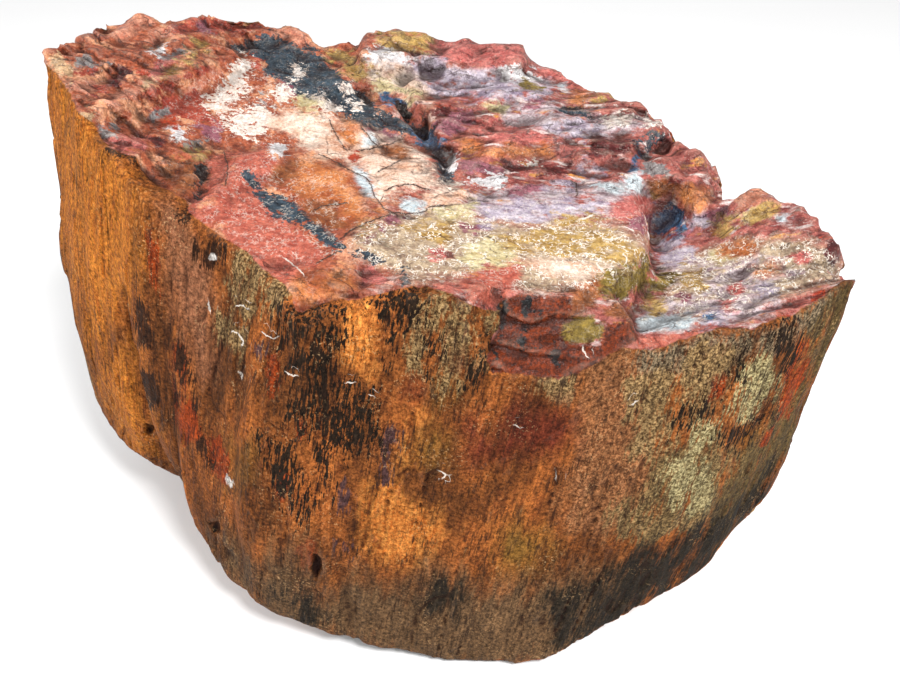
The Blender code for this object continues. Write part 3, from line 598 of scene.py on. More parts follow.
# Hairline cracks and pale curled flecks, as lines in the photograph's pixels
CRACKS = [
    [(329, 119), (334, 131), (340, 142), (347, 151)],
    [(318, 154), (328, 158), (338, 163), (348, 169), (357, 173)],
    [(357, 173), (366, 178), (372, 186), (374, 196)],
    [(384, 192), (392, 187), (402, 185), (412, 184), (422, 188), (431, 190)],
    [(376, 198), (385, 209), (394, 213), (410, 214), (424, 212), (430, 206), (442, 206),
     (457, 204)],
    [(396, 214), (384, 216), (376, 219), (364, 224), (352, 230), (341, 238)],
    [(361, 128), (368, 134), (372, 142), (378, 146), (390, 144), (399, 140)],
    [(402, 159), (390, 166), (378, 171)],
    [(384, 146), (370, 149), (358, 150)],
    [(310, 212), (322, 206), (336, 204), (348, 203)],
    [(438, 479), (446, 481), (454, 486), (462, 492), (466, 500), (465, 510)],
    [(568, 180), (576, 182), (577, 196)],
    [(224, 152), (228, 166), (226, 184)],
    [(340, 250), (330, 256), (316, 263)],
]
FLECKS = [
    [(232, 331), (238, 333), (243, 340), (242, 346)],
    [(262, 332), (268, 337), (274, 339), (278, 336)],
    [(286, 371), (291, 375), (298, 376)],
    [(347, 382), (353, 383)],
    [(437, 470), (442, 473), (448, 474), (442, 478)],
    [(583, 345), (583, 351), (588, 357)],
    [(574, 222), (584, 219), (592, 215)],
    [(581, 254), (590, 253), (598, 255)],
    [(604, 240), (614, 240), (622, 236)],
    [(623, 254), (628, 260), (626, 264)],
    [(596, 262), (600, 268), (604, 272)],
    [(284, 257), (290, 262), (298, 268), (304, 275)],
    [(369, 395), (374, 397)],
    [(514, 425), (520, 427)],
    [(556, 470), (556, 479)],
    [(632, 405), (637, 401)],
    [(208, 302), (210, 312)],
    [(238, 372), (243, 374), (242, 379)],
    [(236, 306), (242, 305), (246, 309)],
    [(620, 226), (630, 228), (634, 232)],
    [(455, 252), (462, 246), (470, 248)],
]

# Stretches with a fine net of cracks, in the photograph's pixels
CRACKLED = [
    [(354, 150), (378, 148), (400, 160), (430, 166), (468, 196), (466, 212), (424, 216),
     (392, 216), (372, 200), (356, 186)],
    [(356, 226), (392, 218), (440, 214), (480, 222), (520, 240), (516, 266), (470, 276),
     (420, 274), (380, 264), (352, 246)],
    [(300, 120), (322, 110), (340, 128), (352, 156), (330, 160), (304, 142)],
]

# Stretches of the face that broke smooth, in the photograph's pixels
SMOOTH = [
    [(150, 110), (214, 68), (250, 56), (320, 104), (352, 120), (372, 150), (400, 160), (438, 188),
     (470, 206), (455, 215), (380, 214), (356, 172), (330, 160), (262, 146), (180, 138)],
    [(232, 158), (264, 148), (300, 160), (352, 176), (364, 214), (342, 236), (400, 262),
     (316, 268), (250, 256), (224, 232), (196, 220), (226, 186)],
    [(380, 222), (470, 206), (520, 196), (600, 192), (652, 198), (652, 250), (600, 276),
     (520, 284), (420, 280), (384, 262)],
    [(660, 240), (700, 240), (760, 244), (740, 266), (690, 270), (658, 262)],
]

# Colours of the marks, as screen values from 0 to 255: dark end, light end and kind of mottling,
# then how far the border wanders, how lacy it is and over what width it fades, in millimetres
FACE_COLOURS = {
    "sand": ((134, 106, 88), (204, 180, 148), "fine", 2.0, 0.8, 3.0),
    "haze": ((140, 112, 118), (216, 200, 202), "streak", 3.5, 1.5, 1.4),
    "salmon": ((178, 98, 74), (214, 148, 120), "streak", 3.0, 1.0, 0.8),
    "brick": ((140, 52, 42), (184, 84, 62), "fine", 3.0, 1.0, 0.5),
    "coral": ((148, 62, 50), (202, 112, 90), "fine", 2.5, 0.6, 1.4),
    "rose": ((156, 66, 62), (210, 124, 114), "fine", 2.4, 0.8, 0.9),
    "mauve": ((112, 58, 70), (164, 102, 112), "fine", 3.0, 0.8, 0.8),
    "lavender": ((128, 110, 132), (212, 200, 210), "streak", 3.5, 1.2, 1.6),
    "grey": ((96, 88, 88), (160, 154, 152), "fine", 3.0, 1.4, 0.6),
    "navy": ((18, 26, 34), (66, 82, 94), "fine", 2.4, 2.4, 0.3),
    "frost": ((216, 190, 172), (250, 242, 234), "fine", 3.0, 4.6, 0.3),
    "white": ((196, 190, 192), (240, 236, 234), "fine", 2.5, 2.6, 0.5),
    "peach": ((208, 156, 126), (246, 226, 208), "broad", 3.0, 1.6, 2.0),
    "ice": ((180, 192, 198), (220, 228, 230), "broad", 2.0, 0.6, 1.0),
    "cream": ((178, 156, 104), (224, 210, 166), "streak", 3.0, 1.5, 1.4),
    "yellow": ((140, 102, 46), (202, 166, 98), "streak", 3.5, 2.0, 1.6),
    "olive": ((88, 72, 30), (154, 128, 58), "streak", 2.5, 1.0, 0.8),
    "orange": ((160, 80, 40), (214, 138, 82), "broad", 2.5, 0.8, 2.0),
    "amber": ((112, 54, 28), (172, 106, 62), "broad", 2.0, 0.6, 1.4),
    "cinder": ((34, 12, 6), (138, 56, 20), "grain", 0.6, 1.0, 0.6),
    "red": ((120, 30, 18), (200, 76, 42), "streak", 2.5, 0.8, 0.5),
    "maroon": ((62, 22, 24), (116, 44, 42), "fine", 2.4, 0.8, 0.5),
    "tan": ((188, 146, 104), (222, 188, 150), "fine", 2.5, 1.0, 0.6),
    "blue": ((40, 68, 100), (84, 118, 152), "fine", 3.0, 1.0, 0.8),
    "black": ((10, 10, 11), (44, 42, 42), "fine", 2.0, 1.2, 0.3),
}
WALL_COLOURS = {
    # Honey colour, lighter with painted light for the lit left side
    "lit_honey": ((156, 76, 20), (222, 142, 58), "grain", 4.0, 2.0, 5.0),
    "fawn": ((112, 68, 40), (176, 118, 76), "speck", 5.0, 2.0, 4.0),
    "taupe": ((118, 70, 46), (176, 118, 84), "grain", 4.0, 2.0, 5.0),
    "glow": ((186, 92, 28), (240, 160, 80), "grain", 5.0, 2.0, 4.0),
    "moss": ((90, 62, 24), (156, 110, 50), "grain", 5.0, 2.0, 7.0),
    # Drab colour, darker with painted shade for the right side
    "shaded_drab": ((66, 52, 32), (128, 104, 64), "grain", 4.0, 3.0, 2.0),
    "ash": ((50, 42, 32), (160, 138, 108), "speck", 4.0, 4.0, 2.5),
    "beige": ((86, 62, 36), (182, 148, 100), "speck", 5.0, 4.5, 1.6),
    "rust": ((106, 38, 16), (184, 80, 34), "grain", 3.0, 2.5, 0.8),
    "oxblood": ((78, 32, 22), (132, 62, 40), "grain", 5.0, 2.0, 6.0),
    "plum": ((62, 40, 40), (102, 72, 70), "grain", 4.0, 3.0, 0.8),
    "sage": ((80, 62, 38), (150, 122, 80), "speck", 6.0, 5.0, 3.0),
    "lichen": ((104, 88, 54), (200, 184, 134), "speck", 5.0, 6.0, 1.2),
    # Damp colour with painted shade near the floor
    "damp_and_shade": ((66, 50, 36), (136, 102, 70), "grain", 6.0, 2.0, 7.0),
    "umber": ((30, 20, 14), (80, 48, 30), "grain", 2.5, 3.5, 0.5),
    "soot": ((16, 14, 12), (56, 42, 30), "grain", 2.5, 9.0, 0.5),
    # Painted shade for the undercut lower right and the foot, with the grain's mottling
    "underside_shade": ((20, 18, 16), (62, 52, 40), "grain", 5.0, 5.0, 3.0),
    # Painted shade: near black inside the small holes
    "shaded_hole": ((8, 6, 5), (18, 14, 12), "grain", 0.8, 0.4, 0.4),
    "chip": ((200, 190, 180), (236, 230, 224), "speck", 0.8, 0.4, 0.3),
}

# Colours under the marks: dark end and light end
BRICK = ((112, 42, 26), (190, 104, 70))
ROSY = ((104, 38, 38), (190, 110, 98))
DARK_BARK = ((66, 38, 22), (134, 80, 42))
LIGHT_BARK = ((118, 60, 28), (190, 112, 54))

# Colours of what is small: streaks, painted shade between flakes, cracks, dust, painted shade in hollows
# and a painted highlight with some wear on edges
PALE_BRICK = (212, 146, 108)
PALE_STREAK = (224, 206, 200)
GOLDEN_STREAK = (196, 130, 66)
# Painted shade between flakes
GAP_SHADE = (52, 22, 20)
CRACK = (66, 44, 36)
CURL = (236, 224, 210)
CRUST = (226, 206, 192)
STRAND = (42, 28, 20)
SCAB = (206, 168, 122)
FLECK = (230, 220, 208)
# Painted shade for the wider and the narrower hollows
DEEP_HOLLOW_SHADE = (38, 24, 20)
SMALL_HOLLOW_SHADE = (40, 22, 18)
# Painted highlight with some wear: the pale colour laid on edges that stand out
EDGE_HIGHLIGHT_AND_WEAR = (236, 200, 176)


# Arrays of points: noise and distances


def smooth_step(value):
    value = np.clip(value, 0.0, 1.0)
    return value * value * (3.0 - 2.0 * value)


def lattice(cells, seed):
    """A value from 0 to 1 for each whole-number cell, always the same for the same cell."""
    mixed = cells.astype(np.int64) @ np.array([73856093, 19349663, 83492791]) + seed * 2654435761
    mixed = (mixed ^ (mixed >> 13)) * 1274126177 & 0xFFFFFFFF
    mixed = (mixed ^ (mixed >> 16)) * 2246822519 & 0xFFFFFFFF
    return ((mixed ^ (mixed >> 15)) & 0xFFFFFF) / float(0xFFFFFF)


def ripple(points, size, seed):
    """Smooth noise from -1 to 1 with bumps of the given size, which may differ along the axes."""
    place = points / np.asarray(size, float)
    cell = np.floor(place)
    share = place - cell
    share = share * share * share * (share * (share * 6.0 - 15.0) + 10.0)
    total = np.zeros(len(points))
    for corner in np.ndindex(2, 2, 2):
        weight = np.prod(np.where(corner, share, 1.0 - share), axis=1)
        total += weight * lattice(cell + corner, seed)
    return 2.0 * total - 1.0


def rugged(points, size, seed, octaves):
    total, height = np.zeros(len(points)), 1.0
    for octave in range(octaves):
        total += height * ripple(points, np.asarray(size, float) / 2.03 ** octave, seed + octave)
        height *= 0.5
    return total


def chips(points, size, seed):
    """Tilted facets from about -1 to 1, one for each cell of a scattered pattern."""
    place = points / np.asarray(size, float)
    cell = np.floor(place)
    nearest = np.full(len(points), 1e9)
    value = np.zeros(len(points))
    for corner in np.ndindex(3, 3, 3):
        there = cell + np.array(corner) - 1
        seeds = [lattice(there, seed + turn) for turn in range(3)]
        offset = place - there - np.column_stack(seeds)
        far = (offset ** 2).sum(1)
        tilt = [lattice(there, seed + 3 + turn) - 0.5 for turn in range(3)]
        facet = 2.0 * lattice(there, seed + 6) - 1.0
        facet += 2.6 * sum(t * offset[:, turn] for turn, t in enumerate(tilt))
        closer = far < nearest
        value = np.where(closer, facet, value)
        nearest = np.minimum(far, nearest)
    return value


def facets(points, size, seed):
    """Flat facets that meet at sharp creases, from -1 to 1."""
    place = points @ FACET_TURN.T / np.asarray(size, float)
    cell = np.floor(place)
    share = place - cell
    order = np.argsort(-share, axis=1)
    ranked = np.take_along_axis(share, order, 1)
    weights = np.column_stack([1.0 - ranked[:, 0], ranked[:, :-1] - ranked[:, 1:], ranked[:, 2]])
    total = weights[:, 0] * lattice(cell, seed)
    for turn in range(3):
        cell[np.arange(len(cell)), order[:, turn]] += 1.0
        total += weights[:, turn + 1] * lattice(cell, seed)
    return 2.0 * total - 1.0


def segment_distance(points, start, end):
    along = np.subtract(end, start)
    share = np.clip((points - start) @ along / (along @ along), 0.0, 1.0)
    return np.linalg.norm(points - start - share[:, None] * along, axis=1)


def inside_distance(points, outline):
    """Distance to a closed outline, positive inside it."""
    closed = [np.array(p, float) for p in outline + outline[:1]]
    distance = np.full(len(points), 1e9)
    inside = np.zeros(len(points), bool)
    x, y = points.T
    for a, b in zip(closed, closed[1:]):
        distance = np.minimum(distance, segment_distance(points, a, b))
        if a[1] != b[1]:
            crosses = ((a[1] > y) != (b[1] > y))
            inside ^= crosses & (x < a[0] + (y - a[1]) * (b[0] - a[0]) / (b[1] - a[1]))
    return np.where(inside, distance, -distance)


def near_outlines(points, outlines, reach):
    """Largest inside distance over several outlines, never under -reach."""
    best = np.full(len(points), -float(reach))
    for outline in outlines:
        corners = np.array(outline, float)
        near = np.all((points > corners.min(0) - reach) & (points < corners.max(0) + reach), axis=1)
        if near.any():
            best[near] = np.maximum(best[near], inside_distance(points[near], outline))
    return best


def line_fields(points, lines, reach):
    """Signed distance to the nearest of several lines, and 1 near their lengths, 0 elsewhere."""
    nearest = np.full(len(points), float(reach))
    side = np.ones(len(points))
    along_it = np.zeros(len(points))
    for line in lines:
        for a, b in zip(line, line[1:]):
            a, b = np.array(a, float), np.array(b, float)
            near = np.all((points > np.minimum(a, b) - reach) & (points < np.maximum(a, b) + reach), axis=1)
            if not near.any():
                continue
            spot = points[near]
            far = segment_distance(spot, a, b)
            along = b - a
            share = (spot - a) @ along / (along @ along)
            cross = along[0] * (spot[:, 1] - a[1]) - along[1] * (spot[:, 0] - a[0])
            closer = far < nearest[near]
            nearest[near] = np.where(closer, far, nearest[near])
            side[near] = np.where(closer, np.sign(cross), side[near])
            within = (share > -0.05) & (share < 1.05)
            along_it[near] = np.where(closer, within, along_it[near])
    return nearest * side, along_it * (nearest < reach * 0.9)


def pixels(points):
    """Where the photograph's camera sees the points."""
    forward = np.array([0.0, math.cos(LOOK_DOWN), -math.sin(LOOK_DOWN)])
    up = np.array([0.0, math.sin(LOOK_DOWN), math.cos(LOOK_DOWN)])
    ray = points - EYE
    depth = ray @ forward
    return np.column_stack([
        IMAGE_SIZE[0] / 2 + FOCAL_PIXELS * ray[:, 0] / depth,
        IMAGE_SIZE[1] / 2 - FOCAL_PIXELS * (ray @ up) / depth,
    ])


# The block


def applied(obj):
    """The object's mesh with its modifiers applied."""
    graph = bpy.context.evaluated_depsgraph_get()
    mesh = bpy.data.meshes.new_from_object(obj.evaluated_get(graph))
    old = obj.data
    obj.modifiers.clear()
    obj.data = mesh
    bpy.data.meshes.remove(old)


def read_points(mesh):
    flat = np.empty(len(mesh.vertices) * 3, np.float32)
    mesh.vertices.foreach_get("co", flat)
    return flat.reshape(-1, 3).astype(float) / MM + FRAME_ORIGIN


def write_points(mesh, points):
    flat = ((points - FRAME_ORIGIN) * MM).astype(np.float32).ravel()
    mesh.vertices.foreach_set("co", flat)
    mesh.update()


def read_normals(mesh):
    flat = np.empty(len(mesh.vertices) * 3, np.float32)
    mesh.vertex_normals.foreach_get("vector", flat)
    return flat.reshape(-1, 3).astype(float)


def read_edges(mesh):
    flat = np.empty(len(mesh.edges) * 2, np.int32)
    mesh.edges.foreach_get("vertices", flat)
    return flat.reshape(-1, 2)


def neighbour_mean(values, edges):
    total = np.zeros_like(values)
    count = np.bincount(edges.ravel(), minlength=len(values)).astype(float)
    for a, b in (edges.T, edges.T[::-1]):
        for column in range(values.shape[1]):
            total[:, column] += np.bincount(a, weights=values[b, column], minlength=len(values))
    return total / np.maximum(count, 1.0)[:, None]


def relaxed(points, edges, rounds, amount):
    for _ in range(rounds):
        points = points + amount[:, None] * (neighbour_mean(points, edges) - points)
    return points


def top_heights(obj):
    """Heights of the solid's upper side over a grid of one millimetre, in the block's axes."""
    tree = BVHTree.FromObject(obj, bpy.context.evaluated_depsgraph_get())
    height = np.zeros(GRID_SIZE)
    for i, j in np.ndindex(*GRID_SIZE):
        x, y = GRID_START - FRAME_ORIGIN[:2] + (i, j)
        hit = tree.ray_cast(Vector((x * MM, y * MM, 1.0)), Vector((0, 0, -1)))[0]
        height[i, j] = hit.z / MM if hit is not None else 0.0
    return height


def face_depth(points, heights):
    """How far below the broken face each point lies, in millimetres: about 0 on the face."""
    cells = np.stack(np.meshgrid(*map(np.arange, GRID_SIZE), indexing="ij"), -1).reshape(-1, 2)
    inner = near_outlines((cells + GRID_START).astype(float), [RIM], 3.0).reshape(GRID_SIZE) > 1.0
    lowest = np.where(inner, heights, 1e9)
    for axis in (0, 1):
        lowest = np.minimum.reduce([np.roll(lowest, step, axis) for step in range(-3, 4)])
    place = np.round(points[:, :2] - GRID_START).astype(int)
    place = np.clip(place, 0, np.array(GRID_SIZE) - 1)
    below = lowest[place[:, 0], place[:, 1]] - points[:, 2]
    return np.where(below > 1e6, NOWHERE, below)


# Relief: heights and sizes in millimetres, sizes along each axis, and each noise's own seed


def flow(points):
    """Coordinates along and across the old wood's layers, as they show on the broken face."""
    bend = BEND_LENGTH * np.logaddexp(0.0, (points[:, 0] - BEND_START) / BEND_LENGTH)
    across = points[:, 1] + LAYER_SLANT * points[:, 0] - LAYER_BEND * bend
    along = points[:, 0] - LAYER_SLANT * points[:, 1]
    return np.column_stack([along, across, points[:, 2]])


def grain(points):
    """Coordinates that run with the walls' fibres: they lean, their lower ends to the left."""
    return np.column_stack([points[:, 0] - GRAIN_LEAN * points[:, 2], points[:, 1], points[:, 2]])


def stepped(value, sharpness):
    """Rises one unit in each unit, most of it within a short step."""
    base = np.floor(value)
    share = value - base
    return base + np.clip((share - 1.0 + sharpness) / sharpness, 0.0, 1.0) - value


def face_relief(points, calm):
    """Facets, thin torn layers and splinters; calm is 1 where the face broke smooth."""
    lines = flow(points)
    warp = [1.6 * ripple(points, 9.0, 81 + turn) for turn in range(3)]
    bent = lines * (0.75, 1.0, 1.0) + np.column_stack(warp)
    rough = 1.0 - 0.94 * calm
    relief = 1.4 * rough * facets(bent, (12.0, 8.0, 9.0), 11)
    relief += 0.75 * rough * facets(bent, (5.2, 3.8, 4.4), 23)
    layers = lines[:, 1] / 9.0 + 0.8 * rugged(lines, (30.0, 12.0, 14.0), 31, 2)
    relief += 1.8 * rough * stepped(layers, 0.10) * smooth_step(0.5 + ripple(points, 20.0, 37))
    relief += 0.35 * rugged(points, 15.0, 43, 2) * (1.0 - 0.3 * calm)
    shells = stepped(rugged(points, (16.0, 12.0, 12.0), 45, 2) * 2.0, 0.12)
    return relief + 0.28 * calm * shells + 0.05 * ripple(points, 2.8, 47)


def wall_relief(points):
    """Fibres, flat flakes, lumps and pits."""
    fibres = grain(points)
    relief = 0.16 * (1.0 - 2.0 * np.abs(ripple(fibres, (3.0, 3.0, 34.0), 51)))
    relief += 0.12 * ripple(fibres, (1.9, 1.9, 17.0), 53)
    groove = 1.0 - smooth_step(np.abs(ripple(fibres, (8.0, 8.0, 60.0), 55)) / 0.09)
    relief -= 0.75 * groove * smooth_step(0.5 + 1.5 * ripple(fibres, (16.0, 16.0, 26.0), 56))
    relief += 0.45 * rugged(points, (19.0, 19.0, 32.0), 57, 3)
    relief += 0.24 * chips(fibres, (9.0, 9.0, 24.0), 61)
    relief += 0.30 * stepped(rugged(fibres, (18.0, 18.0, 70.0), 67, 3) * 1.8, 0.14)
    pits = smooth_step((ripple(fibres, (3.4, 3.4, 8.0), 71) - 0.62) / 0.15)
    return relief - 0.5 * pits


def clear_of_box(points, bounds):
    low = np.array(bounds[0]) / MM + FRAME_ORIGIN
    high = np.array(bounds[1]) / MM + FRAME_ORIGIN
    low[:2] += BOX_MARGIN
    high -= BOX_MARGIN
    return np.clip(points, low, high)


def facing_eye(points, normals):
    sight = EYE - points
    return (normals * sight).sum(1) / np.linalg.norm(sight, axis=1)


def below_rim(points, heights, seen):
    """Depth under the broken face: by the solid's heights, and where seen by the photograph."""
    drawn = -near_outlines(pixels(points), [FACE_OUTLINE], PIXEL_REACH) * PIXEL_MM + RIM_DEPTH
    depth = np.clip(face_depth(points, heights), LEAST_DEPTH, MOST_DEPTH)
    return depth + seen * (drawn - depth)


def whole_mesh(obj, name):
    mesh = obj.data.copy()
    mesh.transform(obj.matrix_world)
    piece = bpy.data.objects.new(name, mesh)
    bpy.context.scene.collection.objects.link(piece)
    return piece


def build_block(source, bounds):
    heights = top_heights(source)
    piece = whole_mesh(source, "petrified_block")
    remesh = piece.modifiers.new("Voxels", "REMESH")
    remesh.mode = "VOXEL"
    remesh.voxel_size = VOXEL * MM
    applied(piece)

    mesh = piece.data
    points = read_points(mesh)
    edges = read_edges(mesh)
    seen = smooth_step((facing_eye(points, read_normals(mesh)) + 0.05) / 0.10)
    depth = below_rim(points, heights, seen)
    ragged_rim = RIM_DEPTH + RIM_FADE * (0.5 + 0.5 * ripple(points, 6.0, 3))
    face = smooth_step((ragged_rim - depth) / RIM_FADE)
    lift = points[:, 2].min()
    points[:, 2] -= lift * smooth_step(SETTLE_SHARE - points[:, 2] / SETTLE_HEIGHT)
    foot = smooth_step((points[:, 2] - FOOT_START) / FOOT_FADE)
    share = SMOOTHING_SHARE * foot
    points = relaxed(points, edges, SMOOTHING_FACE, share)
    points = relaxed(points, edges, SMOOTHING_WALLS - SMOOTHING_FACE, share * (1.0 - face))
    write_points(mesh, points)
    normals = read_normals(mesh)

    seen = smooth_step((facing_eye(points, normals) - 0.02) / 0.15)
    spots = pixels(points)
    calm = seen * smooth_step(0.5 + near_outlines(spots, SMOOTH, 12.0) / 16.0)
    relief = face * face_relief(points, calm) + (1.0 - face) * wall_relief(points)
    holes = smooth_step(near_outlines(spots, WALL_MARKS["shaded_hole"], 4.0) / 4.0 + 0.5)
    relief -= HOLE_DEPTH * holes * seen * (1.0 - face)
    points = clear_of_box(points + normals * (relief * foot)[:, None], bounds)
    write_points(mesh, points)
    normals = read_normals(mesh)
    put(mesh, "hollow_fine", hollow(points, normals, edges, FINE_ROUNDS))
    put(mesh, "hollow_wide", hollow(points, normals, edges, WIDE_ROUNDS))

    triangulate = piece.modifiers.new("Triangles", "TRIANGULATE")
    triangulate.quad_method = "SHORTEST_DIAGONAL"
    applied(piece)
    fewer = piece.modifiers.new("Fewer", "DECIMATE")
    fewer.ratio = TRIANGLES / len(piece.data.polygons)
    applied(piece)
    return piece, heights


# Marks as values on the mesh's points


def put(mesh, name, values):
    attribute = mesh.attributes.new(name, "FLOAT", "POINT")
    attribute.data.foreach_set("value", np.asarray(values, np.float32))


def hollow(points, normals, edges, rounds):
    """How far each point lies under its surroundings, in millimetres; rounds set their width."""
    around = relaxed(points, edges, rounds, np.ones(len(points)))
    return ((around - points) * normals).sum(1)


def unseen_fields(points, names, seed):
    """Marks for the sides that the photograph doesn't show, from noise, as inside distances."""
    fibres = grain(points)
    fields = {}
    for index, name in enumerate(names):
        size, share = UNSEEN_MARKS.get(name, (0.0, 0.0))
        if not size:
            fields[name] = np.full(len(points), -PIXEL_REACH * PIXEL_MM)
            continue
        noise = rugged(fibres, (size, size, size * 1.8), seed + 5 * index, 3)
        fields[name] = (noise - share) * size * 0.5
    return fields


def mark_block(piece, heights):
    mesh = piece.data
    points, normals, edges = read_points(mesh), read_normals(mesh), read_edges(mesh)
    broad = relaxed(normals, edges, 4, np.ones(len(points)))
    broad /= np.linalg.norm(broad, axis=1)[:, None]
    facing = facing_eye(points, broad)
    seen = smooth_step((facing - 0.03) / 0.12)
    spots = pixels(points)

    put(mesh, "below_face", below_rim(points, heights, smooth_step((facing - 0.14) / 0.14)))
    put(mesh, "across", flow(points)[:, 1])
    for marks, seed in ((FACE_MARKS, 200), (WALL_MARKS, 400)):
        unseen = unseen_fields(points, list(marks), seed)
        for name, outlines in marks.items():
            drawn = near_outlines(spots, outlines, PIXEL_REACH) * PIXEL_MM
            drawn = np.minimum(drawn, COVER.get(name, NOWHERE))
            put(mesh, name, unseen[name] + seen * (drawn - unseen[name]))
    put(mesh, "crackle", near_outlines(spots, CRACKLED, PIXEL_REACH) * PIXEL_MM * seen)
    put(mesh, "calm", near_outlines(spots, SMOOTH, PIXEL_REACH) * PIXEL_MM * seen)
    for name, lines in (("crack", CRACKS), ("fleck", FLECKS)):
        side, there = line_fields(spots, lines, LINE_REACH)
        put(mesh, name + "_side", side * PIXEL_MM)
        put(mesh, name + "_there", there * seen)


# Materials: noise takes a size in millimetres, octaves and roughness, and spread takes the values
# that become 0 and 1


class Net:
    """Adds nodes to a material in the order in which they are worked out."""

    def __init__(self, material):
        material.use_nodes = True
        self.tree = material.node_tree
        self.tree.nodes.clear()

    def node(self, kind, inputs=(), **settings):
        made = self.tree.nodes.new("ShaderNode" + kind)
        for key, value in settings.items():
            setattr(made, key, value)
        for key, value in dict(inputs).items():
            self.give(made.inputs[key], value)
        return made

    def give(self, socket, value):
        if isinstance(value, bpy.types.NodeSocket):
            self.tree.links.new(value, socket)
        else:
            socket.default_value = value

    def math(self, operation, *values, clamp=False):
        made = self.node("Math", operation=operation, use_clamp=clamp)
        for socket, value in zip(made.inputs, values):
            self.give(socket, value)
        return made.outputs[0]

    def attribute(self, name):
        return self.node("Attribute", attribute_name=name).outputs["Fac"]

    def spread(self, value, low, high, start=0.0, end=1.0):
        inputs = {"Value": value, "From Min": low, "From Max": high, "To Min": start, "To Max": end}
        return self.node("MapRange", inputs, clamp=True).outputs["Result"]

    def scaled(self, place, sizes):
        """The place divided by sizes in millimetres."""
        made = self.node("VectorMath", operation="MULTIPLY")
        self.give(made.inputs[0], place)
        self.give(made.inputs[1], [1.0 / (size * MM) for size in sizes])
        return made.outputs[0]

    def noise(self, place, size, detail=4.0, roughness=0.6, distortion=0.0):
        sizes = size if isinstance(size, tuple) else (size,) * 3
        inputs = {"Vector": self.scaled(place, sizes), "Scale": 1.0, "Detail": detail,
                  "Roughness": roughness, "Distortion": distortion}
        return self.node("TexNoise", inputs).outputs["Fac"]

    def sway(self, place, size, detail, roughness):
        """Noise about 0, from -0.5 to 0.5."""
        return self.math("SUBTRACT", self.noise(place, size, detail, roughness), 0.5)

    def product(self, first, *others):
        for other in others:
            first = self.math("MULTIPLY", first, other)
        return first

    def mix(self, factor, first, second, blend="MIX"):
        made = self.node("Mix", data_type="RGBA", blend_type=blend)
        self.give(made.inputs["Factor"], factor)
        for socket, value in zip([s for s in made.inputs if s.type == "RGBA"], (first, second)):
            self.give(socket, value if isinstance(value, bpy.types.NodeSocket) else (*value, 1.0))
        return [s for s in made.outputs if s.type == "RGBA"][0]

    def tinted(self, colour, factor):
        """The colour made darker or lighter by a factor."""
        return self.mix(1.0, colour, self.combined(factor, factor, factor), "MULTIPLY")

    def cells(self, place, sizes, warp, amount, **settings):
        """A pattern of cells whose places are bent by the warp."""
        bent = self.node("VectorMath", operation="ADD")
        self.give(bent.inputs[0], self.scaled(place, sizes))
        self.give(bent.inputs[1], self.combined(*[self.math("MULTIPLY", warp, amount)] * 3))
        return self.node("TexVoronoi", {"Vector": bent.outputs[0], "Scale": 1.0}, **settings)

    def near_line(self, name, warp, sway, far, near):
        """1 on the named lines and 0 off them, fading between two distances in millimetres."""
        side = self.math("MULTIPLY_ADD", warp, sway, self.attribute(name + "_side"))
        close = self.spread(self.math("ABSOLUTE", side), far, near)
        return self.math("MULTIPLY", close, self.attribute(name + "_there"))

    def combined(self, x, y, z):
        return self.node("CombineXYZ", {"X": x, "Y": y, "Z": z}).outputs[0]


def linear(screen):
    """A colour's screen values, 0 to 255, as the light values that shaders use."""
    shares = [value / 255.0 for value in screen]
    light = [v / 12.92 if v <= 0.04045 else ((v + 0.055) / 1.055) ** 2.4 for v in shares]
    return tuple(PAINT_SHARE * value for value in light)


def fibre_place(net, place):
    """The place sheared so that its last axis runs along the fibres."""
    parts = net.node("SeparateXYZ", {0: place})
    x = net.math("MULTIPLY_ADD", parts.outputs[2], -GRAIN_LEAN, parts.outputs[0])
    return net.combined(x, parts.outputs[1], parts.outputs[2])


def layer_place(net, place):
    """The place turned so that its first axis runs along the layers that the face shows."""
    parts = net.node("SeparateXYZ", {0: place})
    along = net.math("MULTIPLY_ADD", parts.outputs[1], -LAYER_SLANT, parts.outputs[0])
    across = net.math("MULTIPLY", net.attribute("across"), MM)
    return net.combined(along, across, parts.outputs[2])


def painted(net, base, colours, patterns, wander, lace):
    """Lays the marks over the base in order, each with its own mottling and ragged border."""
    colour = base
    for name, (dark, light, pattern, ragged, lacy, width) in colours.items():
        field = net.math("MULTIPLY_ADD", wander, 5.5 * ragged, net.attribute(name))
        field = net.math("MULTIPLY_ADD", lace, 4.0 * lacy, field)
        shade = net.mix(patterns[pattern], linear(dark), linear(light))
        colour = net.mix(net.spread(field, -width, width), colour, shade)
    return colour


def face_ground(net, place, layers, patterns):
    """The face under its marks: brick at the left, rosier at the right with streaks."""
    left = net.mix(patterns["fine"], *map(linear, BRICK))
    left = net.mix(net.spread(patterns["broad"], 0.50, 0.8), left, linear(PALE_BRICK))
    right = net.mix(patterns["streak"], *map(linear, ROSY))
    pale = net.spread(net.noise(layers, (13.0, 3.6, 5.0), 5.0, 0.6), 0.56, 0.66)
    right = net.mix(pale, right, linear(PALE_STREAK))
    golden = net.spread(net.noise(layers, (9.0, 3.0, 5.0), 4.0, 0.6), 0.60, 0.66)
    right = net.mix(golden, right, linear(GOLDEN_STREAK))
    side = net.spread(net.node("SeparateXYZ", {0: place}).outputs[0], -0.03, 0.02)
    return net.mix(side, left, right)


